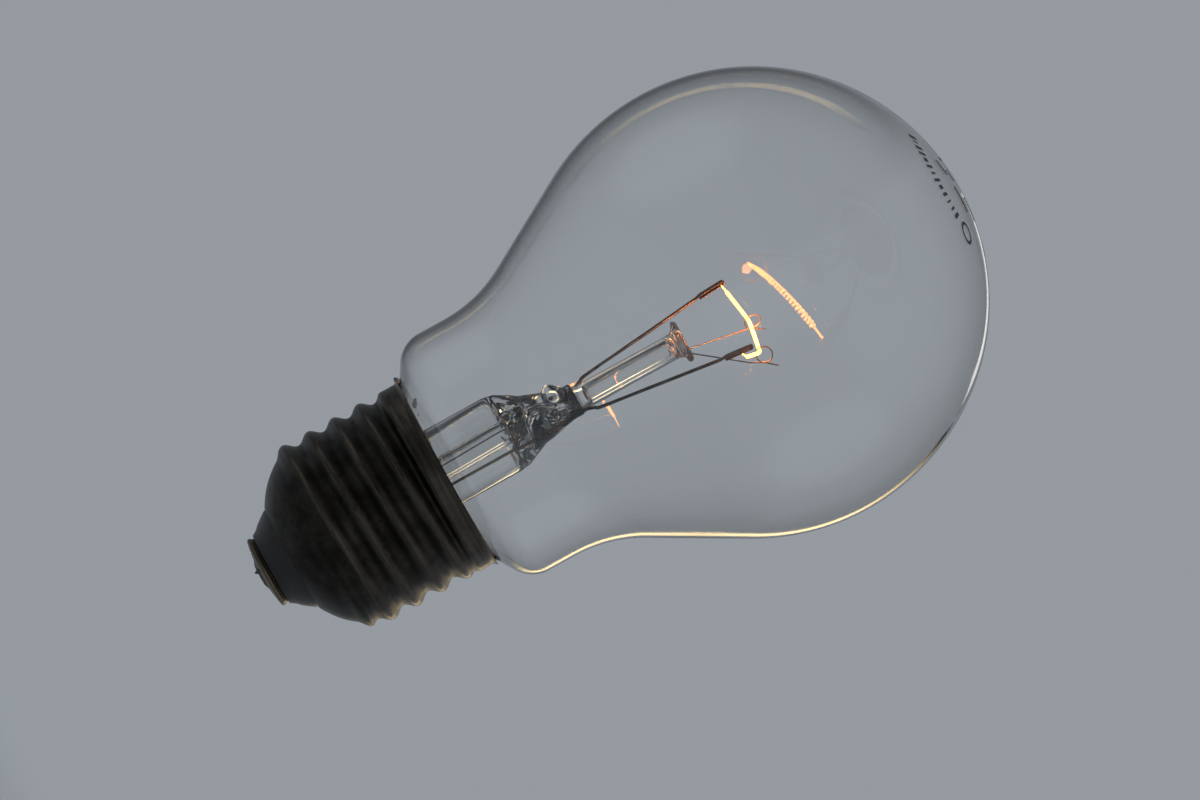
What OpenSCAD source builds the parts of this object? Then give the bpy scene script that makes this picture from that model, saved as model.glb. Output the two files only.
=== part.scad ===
// A clear glass light bulb with a screw cap.
// A blown envelope is sealed to a glass stem. The stem carries two lead-in wires and a rod with
// two fine supports, and between them hangs the coiled filament. The neck is cemented into a thin
// screw shell, which ends in a black glass insulator and a soldered centre contact.
// +Z is the bulb's axis with the crown up. The origin is the middle of the worn flat of the solder
// on the centre contact. The two leads stand in the plane of the X axis.

/* [Envelope] */
// Diameter of the round part
globe_d = 60; // [50:0.5:72]
// Wall thickness of the blown glass
glass_wall = 0.6; // [0.4:0.05:0.9]
// Diameter of the neck just above the cap
neck_d = 34.3; // [30:0.1:41]
// Height at which the straight flank, run on down, would meet the neck
throat_h = 41; // [39:0.5:55]
// Slope of the flank, in degrees from the axis
flank_angle = 29.5; // [25:0.5:36]
// Radius of the hollow curve from the neck into the flank
flank_blend_r = 18; // [8:0.5:20]
// Radius of the rounded shoulder above the cap
shoulder_r = 4.5; // [3:0.1:5.5]
// Slope of the glass where it leaves the cap, in degrees from the axis
shoulder_angle = 58; // [50:1:64]
// Diameter of the neck inside the cap
seal_neck_d = 22; // [20:0.1:22.6]
// Radius of the hollow curve where the neck opens out under the cap's rim
seal_fillet_r = 1.5; // [0.8:0.1:2]
// Height of the seal between the neck and the stem's flange
seal_h = 19; // [16:0.2:21]

/* [Screw shell] */
// Height of the cap's rim
cap_h = 27.2; // [26:0.1:33]
// Outer diameter over the thread's crests
thread_d = 26.2; // [25.6:0.1:31.5]
// Height of a crest above a valley, across the radius
thread_depth = 1; // [0.7:0.05:1.2]
// Pitch of the thread
thread_pitch = 3.629; // [3:0.001:4.4]
// Height of a crest on the side of rim_side_angle
crest_h = 21.4; // [19.5:0.1:22.5]
// Sheet thickness of the shell
shell_wall = 0.3; // [0.2:0.02:0.4]
// How far the plain collar at the rim stands inside the thread's crests, across the radius
collar_inset = 0.1; // [0:0.05:0.3]
// Height of the plain collar below the rim
collar_run = 2.3; // [1.6:0.1:3]
// Height over which the thread fades into the collar
thread_fade = 1.1; // [0.6:0.1:1.6]
// How far the rim's edge turns outward
lip_out = 0.45; // [0.2:0.05:0.7]
// Height of the turned edge
lip_h = 0.6; // [0.4:0.05:0.9]
// Height at which the shell's shoulder meets the thread
shell_shoulder_h = 9.6; // [8.5:0.1:10.5]
// How far the shoulder bulges beyond a straight cone
shell_shoulder_bulge = 0.5; // [0:0.05:0.8]
// Height of the shell's lower edge
shell_base_h = 4.7; // [4:0.1:6]
// Diameter of the shell's lower edge
shell_base_d = 14.5; // [12:0.1:17]
// Side of the rim where the outer lead is soldered, in degrees around the axis
rim_side_angle = 245; // [200:1:300]
// Width of the solder at the rim
rim_solder_w = 1.3; // [1:0.1:1.8]
// Height of the cement ring below its upper edge
cement_run = 6; // [4:0.2:7]

/* [Insulator and contact] */
// Diameter of the centre contact plate
contact_d = 9.6; // [8:0.1:11.5]
// Height of the plate's upper face, where it meets the insulator
contact_top_h = 1.65; // [1.4:0.05:2]
// Thickness of the plate's edge
contact_edge = 0.9; // [0.6:0.05:1]
// Height of the domed plate's underside at its hole
contact_dome_h = 0.2; // [0.15:0.01:0.3]
// Diameter of the plate's hole
contact_hole_d = 1.6; // [1.2:0.1:2]
// Wall of the eyelet around the hole
eyelet_wall = 0.7; // [0.4:0.05:0.9]
// Height of the eyelet above the plate
eyelet_run = 1.5; // [0.8:0.1:2]
// Height of the insulator's upper edge inside the shell
insulator_top_h = 8.4; // [7.5:0.1:9]
// Diameter of the worn flat on the solder
solder_flat_d = 2.6; // [1.6:0.1:3]
// Diameter of the solder on the plate
solder_d = 4.8; // [4:0.1:6]
// Length of the solder spike below the flat
spike_run = 0.55; // [0.3:0.05:0.8]
// Diameter of the spike at its root
spike_d = 0.6; // [0.4:0.05:0.7]

/* [Stem] */
// Outer diameter of the flare tube
flare_d = 10.5; // [9.6:0.1:12.6]
// Wall of the flare tube
flare_wall = 0.9; // [0.7:0.05:1.1]
// Radius of the flare at its flange
flare_r = 4; // [3:0.1:4.4]
// Outer diameter of the exhaust tube
exhaust_d = 3.2; // [2.8:0.1:3.8]
// Wall of the exhaust tube
exhaust_wall = 0.6; // [0.4:0.05:0.8]
// Height of the exhaust tube's melted tip
exhaust_tip_h = 9.6; // [9:0.1:13]
// Height at which the flare tube starts to close into the press
press_low_h = 35.5; // [33:0.1:37]
// Height of the press, from there to its top
press_run = 10.7; // [10:0.1:12.8]
// Width of the press at its top, across the leads
press_w = 8.6; // [8.2:0.1:10.2]
// Thickness of the press at its top
press_t = 1.9; // [1.6:0.1:2.4]
// Diameter of the blow hole in the press
blow_hole_d = 1.6; // [1.2:0.1:1.9]
// Diameter of the glass blown out around that hole
blow_boss_d = 3.4; // [2.6:0.1:4]
// Diameter of the glass rod
rod_d = 3.3; // [2.8:0.1:3.9]
// Diameter of the button at the rod's end
button_d = 5.6; // [5:0.1:6.7]
// Thickness of the button
button_t = 1.2; // [0.9:0.05:1.5]

/* [Leads] */
// Diameter of the inner leads and of the wires in the press
lead_d = 0.45; // [0.35:0.01:0.54]
// Diameter of the outer leads
outer_lead_d = 0.4; // [0.3:0.01:0.45]
// Distance between the leads in the press
lead_gap = 7.4; // [7:0.1:8]
// Distance between the leads' tips
tip_gap = 20.8; // [17:0.1:25]
// How far both tips lean towards the supports
tip_lean = 0.6; // [0:0.05:1]
// Length of the folded clamp at each tip
clamp_run = 4.4; // [3:0.1:5]
// Thickness of a clamp
clamp_t = 0.65; // [0.5:0.05:0.8]
// Width of a clamp
clamp_w = 1; // [0.8:0.05:1.25]

/* [Filament and supports] */
// Depth of the filament's first support below the globe's centre
filament_drop = 1.9; // [0:0.1:4]
// Distance between the two supports
support_gap = 10.2; // [8:0.1:12.2]
// How far the supports hold the filament out from the plane of the leads
support_out = 4.2; // [3.4:0.1:5]
// Outer diameter of the coil
coil_d = 0.56; // [0.46:0.01:0.68]
// Diameter of the coiled strand
strand_d = 0.16; // [0.13:0.01:0.2]
// Pitch of the coil
coil_pitch = 0.6; // [0.5:0.01:0.72]
// Length of the straight leg at each end of the coil
leg_run = 1.1; // [0.8:0.1:1.5]
// Height of the filament's first support above the button
support_h = 8; // [6.5:0.1:9.6]
// Diameter of the support wire
support_d = 0.18; // [0.14:0.01:0.22]
// Diameter of the support wire's loop, along its middle
loop_d = 1.9; // [1.5:0.05:2.3]
// Length of the free tail beyond a loop
tail_run = 2; // [1:0.1:2.4]

/* [Hidden] */
$fn = 64;

// How close two curved pieces that touch are drawn to each other
fit = 0.02;
// Sides of the wires, and of the screw shell around the axis
wire_sides = 8;
fine_sides = 6;
shell_sides = 36;
// Angle between two points along an arc
arc_step = 6;

// ---- heights and radii that follow from the sizes above ----
globe_r = globe_d / 2;
neck_r = neck_d / 2;
seal_r = seal_neck_d / 2;
globe_h = throat_h + (globe_r - neck_r * cos(flank_angle)) / sin(flank_angle);
flank_start_h = throat_h - flank_blend_r * tan(flank_angle / 2);

crest_r = thread_d / 2;
valley_r = crest_r - thread_depth;
collar_r = crest_r - collar_inset;
// a polygon's flats lie this share of its radius from the axis
flat_share = cos(180 / shell_sides);
thread_inside_r = (valley_r - shell_wall) * flat_share - fit;
collar_inside_r = (collar_r - shell_wall) * flat_share - fit;
collar_low_h = cap_h - collar_run;

// the glass passes the rim just inside the shell
rim_glass_r = collar_r - shell_wall - 0.1;
shoulder_h = cap_h + (neck_r - shoulder_r * (1 - cos(shoulder_angle)) - rim_glass_r)
    / tan(shoulder_angle) + shoulder_r * sin(shoulder_angle);
seal_fillet_h = cap_h - (rim_glass_r - seal_r - seal_fillet_r * (1 - cos(shoulder_angle)))
    / tan(shoulder_angle) - seal_fillet_r * sin(shoulder_angle);
cement_top_h = seal_fillet_h + seal_fillet_r * sin(shoulder_angle);

press_top_h = press_low_h + press_run;
seal_wire_top_h = press_top_h - 1;
seal_wire_low_h = press_low_h + 0.23 * press_run;
exhaust_seat_h = press_low_h + 0.37 * press_run;
blow_hole_h = press_low_h + 0.76 * press_run;

filament_h = globe_h - filament_drop;
button_top_h = filament_h - support_h;
button_low_h = button_top_h - button_t;
lead_tip_h = filament_h - 0.4;

// ---- small helpers ----
function unit(v) = v / norm(v);
function mix(a, b, t) = a + (b - a) * t;
function clamp01(t) = max(0, min(1, t));
function smooth(t) = let (c = clamp01(t)) c * c * (3 - 2 * c);
function polar(r, angle, z) = [r * cos(angle), r * sin(angle), z];
function arc(centre, r, from, to) = let (n = ceil(abs(to - from) / arc_step))
    [for (i = [0:n]) let (a = mix(from, to, i / n)) centre + r * [cos(a), sin(a)]];

// Faces that join rings of points, each of the same number of points
function ring_faces(rings, sides, closed) = [
    for (i = [0:rings - (closed ? 1 : 2)], j = [0:sides - 1])
        let (a = i * sides + j, b = i * sides + (j + 1) % sides,
            c = ((i + 1) % rings) * sides + (j + 1) % sides, d = ((i + 1) % rings) * sides + j)
        each [[a, d, c], [a, c, b]]];

// A solid between the first and the last ring
module skin(rings) {
    n = len(rings);
    sides = len(rings[0]);
    polyhedron([for (ring = rings) each ring], concat(ring_faces(n, sides, false),
        [[for (j = [0:sides - 1]) j]], [[for (j = [sides - 1:-1:0]) (n - 1) * sides + j]]));
}

function tangents(path) = let (last = len(path) - 1) [for (i = [0:last])
    unit(path[min(i + 1, last)] - path[max(i - 1, 0)])];
function any_normal(t) = unit(cross(t, abs(t[2]) < 0.9 ? [0, 0, 1] : [1, 0, 0]));
// One normal for each tangent, turned as little as can be from one to the next
function normals(ts, i, last_normal) = i == len(ts) ? [] :
    let (n = unit(last_normal - (last_normal * ts[i]) * ts[i]))
    concat([n], normals(ts, i + 1, n));

// A round wire of the given diameter along a path
module wire(path, d, sides) {
    ts = tangents(path);
    ns = normals(ts, 0, any_normal(ts[0]));
    skin([for (i = [0:len(path) - 1]) let (b = cross(ts[i], ns[i]))
        [for (j = [0:sides - 1]) let (a = 360 * j / sides)
            path[i] + d / 2 * (cos(a) * ns[i] + sin(a) * b)]]);
}

// A true round bar from one point to another, for the bores that wires sit in
module bar(from, to, d) {
    v = to - from;
    translate(from)
        rotate([0, acos(v[2] / norm(v)), atan2(v[1], v[0])])
            cylinder(h = norm(v), d = d, $fn = 24);
}

// Flat ellipses stacked up: each section is [half width, half thickness, height]
module stack(sections, sides) {
    skin([for (s = sections) [for (j = [0:sides - 1]) let (a = 360 * j / sides)
        [s[0] * cos(a), s[1] * sin(a), s[2]]]]);
}

// ---- glass ----
// The envelope's outline, from the seal up to the crown, moved inward by inset
function envelope_outline(inset) = concat(
    [[seal_r - inset, seal_h]],
    seal_fillet(inset),
    arc([neck_r - shoulder_r, shoulder_h], shoulder_r - inset, -shoulder_angle, 0),
    arc([neck_r + flank_blend_r, flank_start_h], flank_blend_r + inset, 180, 180 - flank_angle),
    arc([0, globe_h], globe_r - inset, -flank_angle, 90));
function seal_fillet(inset) = arc([seal_r + seal_fillet_r, seal_fillet_h],
    seal_fillet_r + inset, 180, 180 - shoulder_angle);
function reversed(list) = [for (i = [len(list) - 1:-1:0]) list[i]];

module glass_envelope() {
    color("lightcyan", 0.25)
        rotate_extrude($fn = 96)
            polygon(concat(envelope_outline(0), reversed(envelope_outline(glass_wall))));
}

// The stem's outside from the flange up: round tube, then ever flatter towards the press's top
flare_bend = [flare_d / 2 + flare_r, seal_h + flare_r];
stem_sections = concat(
    [[seal_r, seal_r, seal_h - flare_wall], [seal_r, seal_r, seal_h]],
    [for (p = arc(flare_bend, flare_r, 270, 180)) [p[0], p[0], p[1]]],
    [[flare_d / 2, flare_d / 2, press_low_h],
    [flare_d / 2, 0.93 * flare_d / 2, press_low_h + 0.14 * press_run],
    [0.99 * flare_d / 2, 0.74 * flare_d / 2, press_low_h + 0.28 * press_run],
    [0.97 * flare_d / 2, 0.52 * flare_d / 2, press_low_h + 0.42 * press_run],
    [mix(flare_d, press_w, 0.45) / 2, 0.37 * flare_d / 2, press_low_h + 0.6 * press_run],
    [mix(flare_d, press_w, 0.8) / 2, mix(0.37 * flare_d, press_t, 0.7) / 2,
        press_low_h + 0.75 * press_run],
    [press_w / 2, press_t / 2, press_low_h + 0.86 * press_run],
    [press_w / 2, press_t / 2, press_top_h]]);

// The hollow of the flare tube, open at the flange and closing towards the press
module stem_hollow() {
    inner = flare_d / 2 - flare_wall;
    mouth_h = seal_h - flare_wall;
    rotate_extrude()
        polygon(concat(
            [[0, mouth_h - 1], [flare_bend[0], mouth_h - 1]],
            arc(flare_bend, flare_r + flare_wall, 270, 180),
            [[inner, press_low_h], [inner * 0.8, press_low_h + 0.12 * press_run],
            [exhaust_d / 2, press_low_h + 0.26 * press_run], [0, press_low_h + 0.26 * press_run]]));
}

module stem_flare() {
    color("lightcyan", 0.45)
        difference() {
            union() {
                stack(stem_sections, 32);
                translate([0, 0, exhaust_seat_h])
                    cylinder(h = press_top_h - exhaust_seat_h, d = rod_d);
                translate([0, -blow_boss_d / 2, blow_hole_h])
                    sphere(d = blow_boss_d);
            }
            stem_hollow();
            translate([0, 0, press_low_h])
                cylinder(h = exhaust_seat_h - press_low_h, d = exhaust_d);
            translate([0, 0, press_low_h])
                cylinder(h = blow_hole_h - press_low_h, d = exhaust_d - 2 * exhaust_wall);
            bar([0, 0, blow_hole_h], [0, -flare_d / 2, blow_hole_h], blow_hole_d);
            for (side = [-1, 1])
                bar([side * lead_gap / 2, 0, press_low_h], [side * lead_gap / 2, 0, press_top_h + 1],
                    lead_d);
        }
}

module exhaust_tube() {
    outer = exhaust_d / 2;
    inner = outer - exhaust_wall;
    neck_h = exhaust_tip_h + 2.5 * exhaust_d / 2;
    color("lightcyan", 0.5)
        rotate_extrude($fn = 48)
            polygon([[0, exhaust_tip_h], [0.3 * outer, exhaust_tip_h + 0.2],
                [0.6 * outer, exhaust_tip_h + 1], [outer, neck_h], [outer, exhaust_seat_h],
                [inner, exhaust_seat_h], [inner, neck_h], [0, exhaust_tip_h + 1.6]]);
}

// The rod stands on the press, and its end is melted into a flat button
module support_rod() {
    color("lightcyan", 0.5)
        difference() {
            union() {
                translate([0, 0, press_top_h])
                    cylinder(h = button_low_h - press_top_h, d = rod_d);
                rotate_extrude()
                    polygon([[0, button_low_h], [0.43 * button_d, button_low_h],
                        [0.49 * button_d, button_low_h + 0.25 * button_t],
                        [0.5 * button_d, button_low_h + 0.5 * button_t],
                        [0.48 * button_d, button_low_h + 0.8 * button_t],
                        [0.42 * button_d, button_top_h], [0, button_top_h]]);
            }
            for (i = [0, 1])
                bar(foot(i) + [0, 0, -foot_depth], foot(i) + [0, 0, 1], support_d);
        }
}

// ---- filament ----
// The filament hangs from clamp 1 over the two supports to clamp 2
lead_lean = (tip_gap - lead_gap) / 2 * 0.06;
function clamp_point(side, below) = [side * (tip_gap / 2 - lead_lean * below / clamp_run * 2),
    tip_lean * (1 - 0.05 * below), lead_tip_h - below];
filament_knots = [
    clamp_point(-1, 0.35),
    [-support_gap / 2, support_out, filament_h],
    [support_gap / 2, support_out, filament_h - 0.4],
    clamp_point(1, 1.7)];
span_1 = norm(filament_knots[1] - filament_knots[0]);
span_2 = norm(filament_knots[2] - filament_knots[1]);
span_3 = norm(filament_knots[3] - filament_knots[2]);
filament_run = span_1 + span_2 + span_3;
// A point on the straight spans, and the same with the corners rounded
function on_spans(s) = s < span_1 ? mix(filament_knots[0], filament_knots[1], max(s, 0) / span_1)
    : s < span_1 + span_2 ? mix(filament_knots[1], filament_knots[2], (s - span_1) / span_2)
    : mix(filament_knots[2], filament_knots[3], min(1, (s - span_1 - span_2) / span_3));
corner = 0.8;
function on_filament(s) = (on_spans(s - corner) + on_spans(s - corner / 2) + on_spans(s)
    + on_spans(s + corner / 2) + on_spans(s + corner)) / 5;
function filament_tangent(s) = unit(on_filament(s + 0.1) - on_filament(s - 0.1));

turn_steps = 7;
coil_r = (coil_d - strand_d) / 2;
function coil_swell(s) = coil_r * clamp01((s - leg_run) / coil_pitch)
    * clamp01((filament_run - leg_run - s) / coil_pitch);
function coil_point(s) = let (t = filament_tangent(s), n = unit(cross([0, 0, 1], t)),
    b = cross(t, n), a = 360 * s / coil_pitch)
    on_filament(s) + coil_swell(s) * (cos(a) * n + sin(a) * b);

module filament() {
    step = coil_pitch / turn_steps;
    coil_end = filament_run - leg_run;
    color("orange")
        wire(concat([on_filament(0), on_filament(leg_run / 2)],
            [for (s = [leg_run:step:coil_end]) coil_point(s)],
            [on_filament(filament_run - leg_run / 2), on_filament(filament_run)]),
            strand_d, fine_sides);
}

// ---- supports ----
// Place on the filament, direction of the foot on the button and its distance from the axis
support_at = [span_1, span_1 + span_2];
foot_angle = [124, 66];
foot_r = [0.42 * button_d, 0.42 * button_d - support_d];
foot_depth = 0.7;
function foot(i) = polar(foot_r[i] - support_d, foot_angle[i], button_top_h);
// The loop lies across the filament, which bears on its inner side
function loop_point(i, angle) = let (s = support_at[i], t = filament_tangent(s),
    out = unit(cross([0, 0, 1], t)), up = cross(t, out),
    centre = on_filament(s) + (loop_d / 2 - support_d / 2 - coil_d / 2 - fit) * unit(out + 0.35 * up))
    centre + loop_d / 2 * (cos(angle) * out + sin(angle) * up) + support_d * (angle / 360 - 0.5) * t;
function support_path(i) = let (first = loop_point(i, -20),
    start_dir = unit(loop_point(i, -10) - first), last = loop_point(i, 330),
    end_dir = unit(last - loop_point(i, 320)))
    concat([foot(i) - [0, 0, foot_depth], foot(i), foot(i) + polar(0.35, foot_angle[i], 0.5),
        first - 1.1 * start_dir],
        [for (angle = [-20:25:330]) loop_point(i, angle)],
        [last + tail_run / 2 * end_dir, last + tail_run * end_dir]);

module support_wire_1() {
    color("dimgray") wire(support_path(0), support_d, fine_sides);
}

module support_wire_2() {
    color("dimgray") wire(support_path(1), support_d, fine_sides);
}

// ---- leads ----
function lead_path(side) = let (base = lead_gap / 2, top = clamp_point(side, clamp_run))
    [[side * base, 0, seal_wire_top_h], [side * base, 0, press_top_h + 0.1],
        [side * (base + 0.25), 0, press_top_h + 0.7], [side * (base + 0.9), 0, press_top_h + 1.5],
        [side * (base + 1.6), 0, press_top_h + 2.3], mix([side * (base + 1.6), 0, press_top_h + 2.3],
        top, 0.5), top];

// The lead's end is pressed flat and folded over the filament's leg
module inner_lead(side, across_x, across_y, leg_from, leg_towards) {
    low = clamp_point(side, clamp_run);
    high = clamp_point(side, 0);
    v = high - low;
    difference() {
        union() {
            wire(lead_path(side), lead_d, wire_sides);
            translate(low)
                rotate([0, atan2(v[0], v[2]), 0])
                    translate([-across_x / 2, -across_y / 2, -0.01])
                        cube([across_x, across_y, norm(v)]);
        }
        bar(leg_from, leg_from + 3 * unit(leg_towards - leg_from), strand_d);
    }
}

module inner_lead_1() {
    color("gray") inner_lead(-1, clamp_w, clamp_t, filament_knots[0], filament_knots[1]);
}

module inner_lead_2() {
    color("gray") inner_lead(1, clamp_t, clamp_w, filament_knots[3], filament_knots[2]);
}

module seal_wire(side) {
    color("sienna")
        bar([side * lead_gap / 2, 0, seal_wire_low_h], [side * lead_gap / 2, 0, seal_wire_top_h],
            lead_d);
}

module seal_wire_1() { seal_wire(-1); }

module seal_wire_2() { seal_wire(1); }

// Down the flare, out under the flange, up beside the neck and through the cement to the rim
cement_lead_r = (seal_r + thread_inside_r) / 2;
rim_lead_r = collar_inside_r - outer_lead_d / 2 - fit;
rim_lead_top_h = max(cement_top_h, collar_low_h + 0.9);
function outer_lead_1_path() = let (x = -lead_gap / 2, a = rim_side_angle,
    under = seal_h - flare_wall - outer_lead_d)
    [[x, 0, seal_wire_low_h], [x, 0, press_low_h - 6], [x, 0, seal_h + flare_r + 1],
        [x - 0.4, -1, seal_h], polar(0.6 * seal_r, a - 14, under - 1.2),
        polar(0.86 * seal_r, a, under - 1.1), polar(seal_r, a, under - 0.6),
        polar(cement_lead_r, a, under + 0.2), polar(cement_lead_r, a, collar_low_h - 0.8),
        polar(rim_lead_r, a, mix(collar_low_h, rim_lead_top_h, 0.35)),
        polar(rim_lead_r, a, rim_lead_top_h)];

module outer_lead_1() {
    color("peru") wire(outer_lead_1_path(), outer_lead_d, wire_sides);
}

// Down the flare, past the exhaust tube's tip and through the eyelet into the solder
solder_top_h = contact_top_h + eyelet_run / 2;
lead_end_h = 0.5;
function outer_lead_2_path() = let (x = lead_gap / 2, beside = exhaust_d / 2 + outer_lead_d)
    [[x, 0, seal_wire_low_h], [x, 0, press_low_h - 6], [x, 0, seal_h + flare_r + 1],
        [x - 0.5, 0, seal_h], [beside + 0.6, 0, exhaust_tip_h + 2.5],
        [0.8, 0, insulator_top_h - 2.8], [0.25, 0, contact_top_h + eyelet_run + 1],
        [0, 0, contact_top_h + eyelet_run + 0.2], [0, 0, lead_end_h]];

module outer_lead_2() {
    color("peru") wire(outer_lead_2_path(), outer_lead_d, wire_sides);
}

// ---- cap ----
// The thread's height above the valleys at a place on the shell, from 0 to 1
function thread_wave(angle, h) =
    (1 + cos(360 * (h - crest_h) / thread_pitch - (angle - rim_side_angle))) / 2;

// Stations up the shell: [radius without thread, height, share of thread, outward normal]
shoulder_steps = 5;
shoulder_foot = [shell_base_d / 2, shell_base_h];
shoulder_top = [valley_r, shell_shoulder_h];
shoulder_across = let (v = unit(shoulder_top - shoulder_foot)) [v[1], -v[0]];
function shoulder_at(t) = mix(shoulder_foot, shoulder_top, t)
    + 4 * shell_shoulder_bulge * t * (1 - t) * shoulder_across;
function shoulder_station(t) = let (p = shoulder_at(t),
    v = unit(shoulder_at(t + 0.01) - shoulder_at(t - 0.01)))
    [p[0], p[1], smooth((p[1] - shell_shoulder_h + 1.6) / 2), v[1], -v[0]];
thread_steps = ceil((collar_low_h - shell_shoulder_h) / thread_pitch * 8);
function thread_station(h) = let (fade = smooth((h - collar_low_h + thread_fade) / thread_fade))
    [mix(valley_r, collar_r, fade), h,
        smooth((h - shell_shoulder_h + 1.6) / 2) * (1 - fade), 1, 0];
shell_stations = concat(
    [for (i = [0:shoulder_steps - 1]) shoulder_station(i / shoulder_steps)],
    [for (i = [0:thread_steps]) thread_station(mix(shell_shoulder_h, collar_low_h, i / thread_steps))],
    [[collar_r, cap_h - lip_h, 0, 1, 0], [collar_r + 0.4 * lip_out, cap_h - 0.4 * lip_h, 0, 1, 0],
        [collar_r + lip_out, cap_h, 0, 1, 0]]);

function shell_point(station, angle, inset) =
    polar(station[0] + thread_depth * station[2] * thread_wave(angle, station[1])
        - inset * station[3], angle, station[1] - inset * station[4]);
function shell_ring(station, inset) = [for (j = [0:shell_sides - 1])
    shell_point(station, 360 * j / shell_sides, inset)];

module cap_shell() {
    rings = concat([for (s = shell_stations) shell_ring(s, 0)],
        [for (s = reversed(shell_stations)) shell_ring(s, shell_wall)]);
    color("silver")
        polyhedron([for (ring = rings) each ring], ring_faces(len(rings), shell_sides, true));
}

// The neck is held in the shell by a ring of cement
module basing_cement() {
    color("wheat")
        difference() {
            rotate_extrude()
                polygon(concat([[seal_r, cement_top_h - cement_run]], seal_fillet(0),
                    [[collar_inside_r, cement_top_h], [collar_inside_r, collar_low_h],
                    [thread_inside_r, collar_low_h - thread_fade / 2],
                    [thread_inside_r, cement_top_h - cement_run]]));
            outer_lead_1();
        }
}

// The shell's inner face in its shoulder, drawn in by the flats of its sides
function inside_shoulder(t) = let (s = shoulder_station(t))
    [(s[0] - shell_wall * s[3]) * flat_share - fit, s[1] - shell_wall * s[4]];
insulator_steps = 4;
insulator_share = (insulator_top_h - shell_base_h) / (shell_shoulder_h - shell_base_h);

module cap_insulator() {
    eyelet_r = contact_hole_d / 2 + eyelet_wall;
    color("#151515")
        rotate_extrude()
            polygon(concat(
                [[eyelet_r, contact_top_h], [contact_d / 2, contact_top_h]],
                [for (i = [0:insulator_steps])
                    inside_shoulder(insulator_share * i / insulator_steps)],
                [[2 * eyelet_r, insulator_top_h - 1.2],
                [eyelet_r, contact_top_h + eyelet_run + 0.4]]));
}

// The plate's underside is a shallow dome of three cones
function dome_h(r) = mix(contact_dome_h, contact_top_h - contact_edge, pow(2 * r / contact_d, 2));
dome_radii = [solder_d / 2, mix(solder_d, contact_d, 0.55) / 2, contact_d / 2];

module contact_plate() {
    hole_r = contact_hole_d / 2;
    color("darkgoldenrod")
        rotate_extrude()
            polygon(concat([[hole_r, dome_h(hole_r)]], [for (r = dome_radii) [r, dome_h(r)]],
                [[contact_d / 2, contact_top_h], [hole_r + eyelet_wall, contact_top_h],
                [hole_r + eyelet_wall, contact_top_h + eyelet_run],
                [hole_r, contact_top_h + eyelet_run]]));
}

// Solder fills the eyelet around the lead and stands on the plate, worn flat in the middle
spike_r = solder_flat_d / 2 + spike_d / 2 + 0.06;
spike_angle = -46;
spike_root_h = dome_h(solder_flat_d / 2) - 0.06;

module tip_solder() {
    hole_r = contact_hole_d / 2;
    color("gainsboro")
        difference() {
            union() {
                rotate_extrude()
                    polygon([[0, 0], [solder_flat_d / 2, 0],
                        [mix(solder_flat_d, solder_d, 0.55) / 2, 0.3 * dome_h(solder_d / 2)],
                        [solder_d / 2, dome_h(solder_d / 2)], [hole_r, dome_h(hole_r)],
                        [hole_r, solder_top_h], [0, solder_top_h]]);
                translate(polar(spike_r, spike_angle, -spike_run))
                    cylinder(h = spike_run + spike_root_h, d1 = 0.12, d2 = spike_d, $fn = 24);
            }
            translate([0, 0, lead_end_h])
                cylinder(h = solder_top_h, d = outer_lead_d, $fn = 24);
        }
}

// Solder fills the gap between the glass and the rim above the outer lead, and laps over the rim
function glass_line(r) = cap_h + (r - rim_glass_r) / tan(shoulder_angle) - 3 * fit;

module rim_solder() {
    inside_r = rim_lead_r - outer_lead_d / 2;
    rim_inside = (collar_r - shell_wall) * flat_share - fit;
    lip_inside = (collar_r + lip_out - shell_wall) * flat_share - fit;
    over_r = collar_r + lip_out + fit;
    top_r = over_r + 0.15;
    half = rim_solder_w / 2 / collar_r * 180 / PI;
    color("gainsboro")
        difference() {
            rotate([0, 0, rim_side_angle - half])
                rotate_extrude(angle = 2 * half)
                    polygon(concat([[inside_r, cement_top_h], [rim_inside, cement_top_h]],
                        cement_top_h < cap_h - lip_h ? [[rim_inside, cap_h - lip_h]] : [],
                        [[rim_inside + 0.4 * lip_out * flat_share, cap_h - 0.4 * lip_h],
                        [lip_inside, cap_h + fit], [over_r, cap_h + fit], [over_r, cap_h - 0.2],
                        [over_r + 0.3, cap_h - 0.2], [over_r + 0.4, cap_h + 0.1],
                        [top_r, min(cap_h + 0.4, glass_line(top_r))],
                        [over_r - 0.3, min(cap_h + 0.3, glass_line(over_r - 0.3))],
                        [inside_r, glass_line(inside_r)]]));
            if (rim_lead_top_h > cement_top_h) outer_lead_1();
        }
}

glass_envelope();
stem_flare();
exhaust_tube();
support_rod();
support_wire_1();
support_wire_2();
inner_lead_1();
inner_lead_2();
seal_wire_1();
seal_wire_2();
outer_lead_1();
outer_lead_2();
filament();
cap_shell();
cap_insulator();
contact_plate();
basing_cement();
tip_solder();
rim_solder();
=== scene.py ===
# %% [markdown]
# # A clear glass light bulb with a screw cap
# The imported model gives every piece its place. This lesson gives each piece its looks: thin clear
# glass, a pinched glass stem, fine wires, a coil that still glows, and a dull, worn screw cap.
# The scene is in metres, +Z is the bulb's axis with the crown up, and the origin is the flat of the
# centre contact. The bulb's own sizes are written in millimetres, and MM turns them into metres.

# %% Load the frame
import math

import bmesh
import bpy
import numpy as np
from mathutils import Matrix, Vector, noise


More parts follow.
